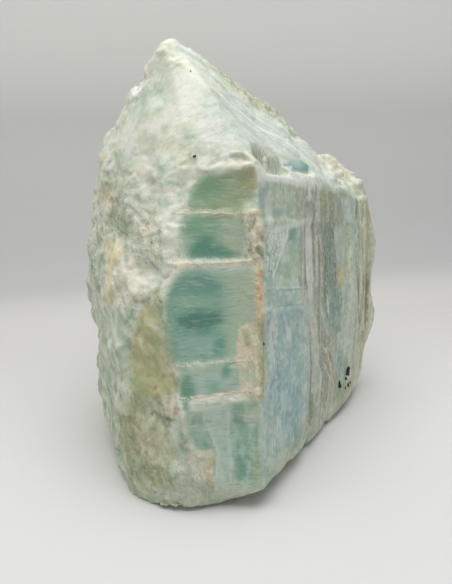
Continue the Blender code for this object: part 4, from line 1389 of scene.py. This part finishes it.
AREA_COVERS = {
    "brow": (
        (WAY_OVER_THE_BROW, 0.7, 3.0, 2.5, 0.50, 0.64, MILK, 0.4),
        (WAY_OVER_THE_BROW, 0.8, 3.0, 2.5, 0.53, 0.66, MID_GREEN * 0.85, 0.24),
    ),
    "top": (
        (WAY_DOWN_THE_TOP, 0.6, 6.0, 5.0, 0.50, 0.62, MILK, 0.4),
        (WAY_DOWN_THE_TOP, 0.7, 5.0, 5.0, 0.54, 0.66, GREY_GREEN * 0.6, 0.36),
    ),
    "fibrous": (
        (WAY_UP, 0.35, 9.0, 4.0, 0.48, 0.58, MILK, 0.5),
        (WAY_UP, 0.4, 9.0, 4.0, 0.50, 0.60, BROWN_GREY * 0.5, 0.5),
    ),
    "prism": (
        (WAY_UP, 0.8, 2.0, 1.5, 0.48, 0.64, MILK, 0.22),
        (WAY_UP, 0.9, 2.4, 1.5, 0.50, 0.66, TEAL * 0.6, 0.2),
    ),
    "ribbed": (
        (WAY_UP, 0.8, 24.0, 5.0, 0.52, 0.64, MILK, 0.25),
        (WAY_UP, 0.9, 26.0, 5.0, 0.53, 0.65, GREY * 0.35, 0.22),
    ),
    "frosted": (
        (WAY_UP, 1.1, 1.4, 2.0, 0.46, 0.56, MILK, 0.5),
        (WAY_UP, 0.8, 1.4, 2.0, 0.50, 0.60, TEAL * 0.6, 0.5),
    ),
    "blue side": (
        (WAY_UP, 1.8, 6.0, 4.0, 0.50, 0.66, FROST, 0.22),
        (WAY_UP, 2.4, 5.0, 4.0, 0.50, 0.66, BLUE_HEART * 0.6, 0.2),
    ),
}
GLASSY_COVERS = (
    (tuple(PANEL.run), 0.6, 12.0, 5.0, 0.48, 0.68, FROST, 0.3),
    (tuple(PANEL.run), 0.8, 9.0, 4.0, 0.50, 0.66, TEAL * 0.55, 0.34),
)

# %% The shine of the stone
# The lips are cream, with a painted highlight along their top edge where light catches the ledge.
LIP_CREAM_AND_HIGHLIGHT = PINK_CREAM * 0.6 + MILK * 0.35
LIP_STRENGTH = 0.85
ROUGHNESS = 0.62
GLASSY_ROUGHNESS = 0.32
GLASSY_COAT = 0.3
COAT_ROUGHNESS = 0.2
BERYL_IOR = 1.57
SCATTERED_SHARE = 0.15
SCATTERED_COLOUR = (0.8, 1.0, 0.9)
SCATTERED_REACH = 1.5 * MM
BUMP_STRENGTH = 0.6
BUMP_HEIGHT = 0.3 * MM

# %% Lay covers in the shader
def stored(tree, name, output="Fac"):
    made = tree.nodes.new("ShaderNodeAttribute")
    made.attribute_name = name
    return made.outputs[output]


def cover(tree, tint, area, place, covers):
    """Lays fine streaky covers over a colour, where the area is."""
    for axis, size, stretch, waver, low, high, paint, strength in covers:
        shape = {"Axis": axis, "Size": size, "Stretch": stretch, "Waver": waver}
        mask = use(tree, FIBRES, {"Vector": place, **shape, "Low": low, "High": high})
        share = times(tree, mask, area, strength)
        tint = mix_colours(tree, share, tint, linear(paint))
    return tint


def fleck(tree, tint, area, place, covers):
    """Lays angular flecks over a colour, where the area is."""
    for axis, size, stretch, waver, share, paint, strength in covers:
        shape = {"Axis": axis, "Size": size, "Stretch": stretch, "Waver": waver}
        mask = use(tree, FLECKS, {"Vector": place, **shape, "Share": share})
        part = times(tree, mask, area, strength)
        tint = mix_colours(tree, part, tint, linear(paint))
    return tint


def lip_mask(tree, name, half, ripple, broken):
    """A thin wavy line where the height above a fracture passes zero, broken here and there."""
    height = maths(tree, "ADD", stored(tree, "above " + name), maths(tree, "MULTIPLY_ADD", ripple, 1.0, -0.5))
    line = smooth_range(tree, maths(tree, "ABSOLUTE", height), half * 1.5, half * 0.6)
    return times(tree, line, broken, stored(tree, "on_front"))

# %% Make the stone material
def stone_material():
    material = bpy.data.materials.new("aquamarine")
    material.use_nodes = True
    tree = material.node_tree
    shader = tree.nodes["Principled BSDF"]
    place = tree.nodes.new("ShaderNodeTexCoord").outputs["Object"]
    rough_mask = stored(tree, "rough")
    ribbed_mask = stored(tree, "ribbed")
    prism_mask = stored(tree, "prism")
    glassy_mask = stored(tree, "glassy")

    tint = stored(tree, "stone_colour", "Color")
    tint = cover(tree, tint, rough_mask, place, ROUGH_COVERS)
    tint = fleck(tree, tint, rough_mask, place, ROUGH_FLECKS)
    for area, covers in AREA_COVERS.items():
        tint = cover(tree, tint, stored(tree, area), place, covers)
    drifts = use(tree, MOTTLE, {"Vector": place, "Size": 6.0, "Low": 0.3, "High": 0.55, "Bend": 0.6})
    tint = cover(tree, tint, times(tree, glassy_mask, drifts), place, GLASSY_COVERS)
    ripple = use(tree, MOTTLE, {"Vector": place, "Size": 2.2, "Low": 0.2, "High": 0.8, "Bend": 0.4})
    broken = use(tree, MOTTLE, {"Vector": place, "Size": 3.0, "Low": 0.36, "High": 0.46, "Bend": 0.5})
    sway = maths(tree, "MULTIPLY_ADD", ripple, 1.2, -0.6)
    thinned = maths(tree, "MULTIPLY_ADD", broken, 0.6, 0.4)
    for name, (_, paint, strength, half) in PRISM_THREADS.items():
        beside = maths(tree, "ABSOLUTE", maths(tree, "ADD", stored(tree, "beside " + name), sway))
        thread = smooth_range(tree, beside, half * 1.8, half * 0.4)
        tint = mix_colours(tree, times(tree, thread, prism_mask, strength, thinned), tint, linear(paint))
    # Fracture lips: cream with a painted highlight along the ledge.
    lips = 0.0
    for name, (_, _, half, _) in FRACTURES.items():
        line = lip_mask(tree, name, half, ripple, broken)
        tint = mix_colours(tree, times(tree, line, LIP_STRENGTH), tint, linear(LIP_CREAM_AND_HIGHLIGHT))
        lips = maths(tree, "MAXIMUM", lips, line)

    put(tree, tint, shader.inputs["Base Color"])
    gloss = times(tree, maths(tree, "ADD", glassy_mask, times(tree, ribbed_mask, 0.5)),
                  maths(tree, "SUBTRACT", 1.0, lips))
    gloss = maths(tree, "MINIMUM", gloss, 1.0)
    roughness = maths(tree, "MULTIPLY_ADD", gloss, GLASSY_ROUGHNESS - ROUGHNESS, ROUGHNESS)
    put(tree, roughness, shader.inputs["Roughness"])
    put(tree, times(tree, gloss, GLASSY_COAT), shader.inputs["Coat Weight"])
    shader.inputs["Coat Roughness"].default_value = COAT_ROUGHNESS
    shader.inputs["IOR"].default_value = BERYL_IOR
    shader.inputs["Subsurface Weight"].default_value = SCATTERED_SHARE
    shader.inputs["Subsurface Radius"].default_value = SCATTERED_COLOUR
    shader.inputs["Subsurface Scale"].default_value = SCATTERED_REACH

    # Fine relief that the mesh is too coarse for.
    grit = use(tree, FIBRES, {"Vector": place, "Axis": FLANK_WAY, "Size": 0.7, "Stretch": 1.6, "Waver": 3.0,
                              "Low": 0.3, "High": 0.7})
    fine_ribs = use(tree, FIBRES, {"Vector": place, "Size": 0.5, "Stretch": 40.0, "Low": 0.3, "High": 0.7})
    wavy = bent(tree, vector_maths(tree, "SCALE", place, 1 / MM), 0.3, 1.2)
    wide_facets = chip_offset(tree, wavy, 1.7, 1.6, (0, 0, 0))
    facets = maths(tree, "ADD", wide_facets, chip_offset(tree, wavy, 0.9, 0.7, (5, 0, 0)))
    height = maths(tree, "ADD", times(tree, maths(tree, "ADD", grit, facets), rough_mask),
                   times(tree, fine_ribs, times(tree, ribbed_mask, 0.6)))
    height = maths(tree, "ADD", height, lips)
    bump = node(tree, "ShaderNodeBump",
                {"Height": height, "Strength": BUMP_STRENGTH, "Distance": BUMP_HEIGHT})
    tree.links.new(bump.outputs["Normal"], shader.inputs["Normal"])
    return material

# %% Dress the block
stone = stone_material()
block.data.materials.clear()
block.data.materials.append(stone)
box_corners = {"Low Corner": tuple(solid_low), "High Corner": tuple(solid_high)}
add_nodes(block, relief_tree(), {"Material": stone, **box_corners})
bake(block)
block.data.shade_smooth()
triangles = sum(len(face.vertices) - 2 for face in block.data.polygons)
print("the block has", triangles, "triangles")

# %% [markdown]
# ## Black grains
#
# Schorl, black tourmaline, often grows with aquamarine. A few short prisms stick in the prism face near its
# foot, and specks lie on the brow. Their places are the points of a small mesh, and a node tree puts a
# six-sided prism on each, turned at random and sized as listed.

# %% Place the black grains
GRAINS = (
    # along the prism face, up the axis, size
    (78.8, 30.8, 3.0), (79.4, 32.3, 1.6), (73.8, 25.2, 1.9), (73.6, 26.4, 1.4),
    (76.5, 27.8, 1.3), (80.5, 24.6, 1.5), (77.5, 23.6, 1.2), (83.0, 25.2, 1.0),
)
SPECKS = (
    # along the front, up the axis, size
    (20.6, 118.0, 0.75), (21.2, 116.8, 0.6), (21.5, 152.0, 0.5), (-0.6, 51.5, 0.8),
)
SUNK_SHARE = 0.1

# %% The tree that makes the grains
def grain_tree():
    tree = bpy.data.node_groups.new("black grains", "GeometryNodeTree")
    add_sockets(
        tree,
        {"Geometry": "Geometry", "Seed": 4, "Slimness": 0.6, "Material": "Material"},
        {"Geometry": "Geometry"},
    )
    start = tree.nodes.new("NodeGroupInput").outputs
    end = tree.nodes.new("NodeGroupOutput")
    points = node(tree, "GeometryNodeMeshToPoints", {"Mesh": start["Geometry"]})
    prism_shape = node(tree, "GeometryNodeMeshCone",
                       {"Vertices": 6, "Side Segments": 2, "Radius Bottom": start["Slimness"],
                        "Radius Top": times(tree, start["Slimness"], 0.6), "Depth": 1.0})
    centred = node(tree, "GeometryNodeTransform",
                   {"Geometry": prism_shape.outputs["Mesh"], "Translation": (0, 0, -0.5)})
    turn = node(tree, "FunctionNodeRandomValue", {"Seed": start["Seed"]}, data_type="FLOAT_VECTOR")
    turn.inputs[0].default_value = (-0.45, -0.45, 0.0)
    turn.inputs[1].default_value = (0.1, 0.45, 3.0)
    size = attribute_value(tree, "size")
    placed = node(tree, "GeometryNodeInstanceOnPoints",
                  {"Points": points.outputs[0], "Instance": centred.outputs[0], "Rotation": turn.outputs[0],
                   "Scale": size})
    finish_tree(tree, placed.outputs[0], start["Material"], end)
    return tree


def schorl_material():
    material = bpy.data.materials.new("black tourmaline")
    material.use_nodes = True
    tree = material.node_tree
    shader = tree.nodes["Principled BSDF"]
    place = tree.nodes.new("ShaderNodeTexCoord").outputs["Object"]
    dust = use(tree, MOTTLE, {"Vector": place, "Size": 0.6, "Low": 0.5, "High": 0.7, "Bend": 0.3})
    put(tree, mix_colours(tree, dust, linear(colour(20, 24, 20)), linear(colour(52, 60, 48))),
        shader.inputs["Base Color"])
    put(tree, maths(tree, "ADD", 0.35, times(tree, dust, 0.3)), shader.inputs["Roughness"])
    return material

# %% Set the grains in the stone
def on_surface(face, along, up, size):
    """The nearest place on the finished block, sunk a little way into it."""
    _, nearest, normal, _ = block.closest_point_on_mesh(Vector(face.place(along, up)) * MM)
    return nearest - normal * (SUNK_SHARE * size * MM)


spots = [on_surface(face, *row) for face, rows in ((PRISM, GRAINS), (PANEL, SPECKS)) for row in rows]
places = bpy.data.meshes.new("grain places")
places.from_pydata(spots, [], [])
sizes = places.attributes.new("size", "FLOAT", "POINT")
sizes.data.foreach_set("value", [row[2] * MM for row in GRAINS + SPECKS])
grains = link_object("black_grains", places)
add_nodes(grains, grain_tree(), {"Material": schorl_material()})
bake(grains)
print("black grains:", len(spots))

# %% [markdown]
# ## Finish the pieces
#
# The dressed block stands for the solid, and the grains ride with it.

# %% Tell the frame what each piece is
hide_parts(NODE)
for piece in (block, grains):
    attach(piece, "root")

# %% [markdown]
# ## Floor, light and camera
#
# The stone stands on a pale sheet that curves up behind it. A large soft light hangs over it, and the pale
# surroundings fill the shadows. The sheet is a profile swept sideways: flat, then a quarter circle, then
# upright. It is turned a little, so that its bend runs away to one side. From behind, the camera looks
# through the sheet: its alpha is zero where a camera ray meets its back.

# %% The sheet's sizes and tones
FLOOR_FRONT = -1.2
SHEET_TURN = math.radians(11)
SHEET_SIDE = Vector((math.cos(SHEET_TURN), math.sin(SHEET_TURN), 0))
SHEET_DEPTH = Vector((-math.sin(SHEET_TURN), math.cos(SHEET_TURN), 0))
BEND_START = 0.128
BEND_RADIUS = 0.1
WALL_HEIGHT = 0.9
HALF_WIDTH = 1.6
BEND_STEPS = 24
# The far floor is painted darker towards the bend, as painted shade, and the wall is painted lighter towards
# its top, as painted light from the lamp above. The upright part is greyer than the floor.
FLOOR_TINT = (0.72, 0.712, 0.695)
WALL_TINT = (0.485, 0.48, 0.478)
HIGH_WALL_PAINTED_LIGHT = (0.765, 0.76, 0.725)
FAR_FLOOR_PAINTED_SHADE = (0.6, 0.592, 0.575)
BEND_TONES = (0.0, 0.010)
WALL_TONES = (0.02, 0.16)
FLOOR_TONES = (-0.03, 0.12)

# %% Sweep the sheet
def backdrop():
    profile = [(FLOOR_FRONT, 0.0), (BEND_START, 0.0)]
    for step in range(1, BEND_STEPS + 1):
        angle = math.radians(90) * step / BEND_STEPS
        profile.append((BEND_START + BEND_RADIUS * math.sin(angle), BEND_RADIUS * (1 - math.cos(angle))))
    profile.append((BEND_START + BEND_RADIUS, WALL_HEIGHT))
    points = [SHEET_SIDE * side + SHEET_DEPTH * depth + Vector((0, 0, height))
              for depth, height in profile for side in (-HALF_WIDTH, HALF_WIDTH)]
    faces = [(2 * n, 2 * n + 1, 2 * n + 3, 2 * n + 2) for n in range(len(profile) - 1)]
    mesh = bpy.data.meshes.new("backdrop")
    mesh.from_pydata(points, [], faces)
    mesh.shade_smooth()
    sheet = link_object("backdrop", mesh)
    material = bpy.data.materials.new("pale paper")
    material.use_nodes = True
    tree = material.node_tree
    shader = tree.nodes["Principled BSDF"]
    place = tree.nodes.new("ShaderNodeTexCoord").outputs["Object"]
    depth = vector_maths(tree, "DOT_PRODUCT", place, SHEET_DEPTH)
    height = node(tree, "ShaderNodeSeparateXYZ", {0: place}).outputs[2]
    # Painted shade on the far floor, and painted light higher up the wall.
    tint = linear(FLOOR_TINT)
    for measure, reach, paint in ((depth, FLOOR_TONES, FAR_FLOOR_PAINTED_SHADE), (height, BEND_TONES, WALL_TINT),
                                  (height, WALL_TONES, HIGH_WALL_PAINTED_LIGHT)):
        tint = mix_colours(tree, smooth_range(tree, measure, *reach), tint, linear(paint))
    put(tree, tint, shader.inputs["Base Color"])
    shader.inputs["Roughness"].default_value = 0.9
    back = tree.nodes.new("ShaderNodeNewGeometry").outputs["Backfacing"]
    looked_at = tree.nodes.new("ShaderNodeLightPath").outputs["Is Camera Ray"]
    put(tree, maths(tree, "SUBTRACT", 1.0, times(tree, back, looked_at)), shader.inputs["Alpha"])
    mesh.materials.append(material)


backdrop()

# %% [markdown]
# ### The light
#
# One wide disk hangs over the stone, so its shadows are soft, and a pale room fills them. A smaller lamp
# would make the glassy blocks glare, and a brighter room would hide the relief.

# %% Light it
LAMP_PLACE = Vector((-20, 0, 620)) * MM
LAMP_AIM = Vector((0, -20, 0)) * MM
LAMP_SIZE = 750 * MM
LAMP_POWER = 4.2
ROOM_COLOUR = (0.95, 0.97, 1.0)
ROOM_STRENGTH = 0.34

lamp = bpy.data.lights.new("softbox above", "AREA")
lamp.shape = "DISK"
lamp.size = LAMP_SIZE
lamp.energy = LAMP_POWER
holder = link_object("softbox above", lamp)
holder.location = LAMP_PLACE
holder.rotation_euler = (LAMP_AIM - LAMP_PLACE).to_track_quat("-Z", "Y").to_euler()
world = bpy.data.worlds.new("pale room")
world.use_nodes = True
room = world.node_tree.nodes["Background"].inputs
room["Color"].default_value = linear(ROOM_COLOUR)
room["Strength"].default_value = ROOM_STRENGTH
bpy.context.scene.world = world
bpy.context.scene.view_settings.view_transform = "Standard"

# %% [markdown]
# ### The camera
#
# The camera stands in front of the stone and above it, and looks down. The focal length is given in pixels of
# the picture, which fixes the perspective whatever the sensor's size.

# %% Set the camera
FRAME_SIZE = (452, 584)
FOCAL_PIXELS = 800
CAMERA_PLACE = Vector((-7, -299, 170)) * MM
CAMERA_TILT = 20

lens = bpy.data.cameras.new("camera")
lens.sensor_width = 36
lens.lens = FOCAL_PIXELS / max(FRAME_SIZE) * lens.sensor_width
lens.clip_start = 0.01
camera = link_object("camera", lens)
camera.location = CAMERA_PLACE
camera.rotation_euler = (math.radians(90 - CAMERA_TILT), 0, 0)
bpy.context.scene.camera = camera
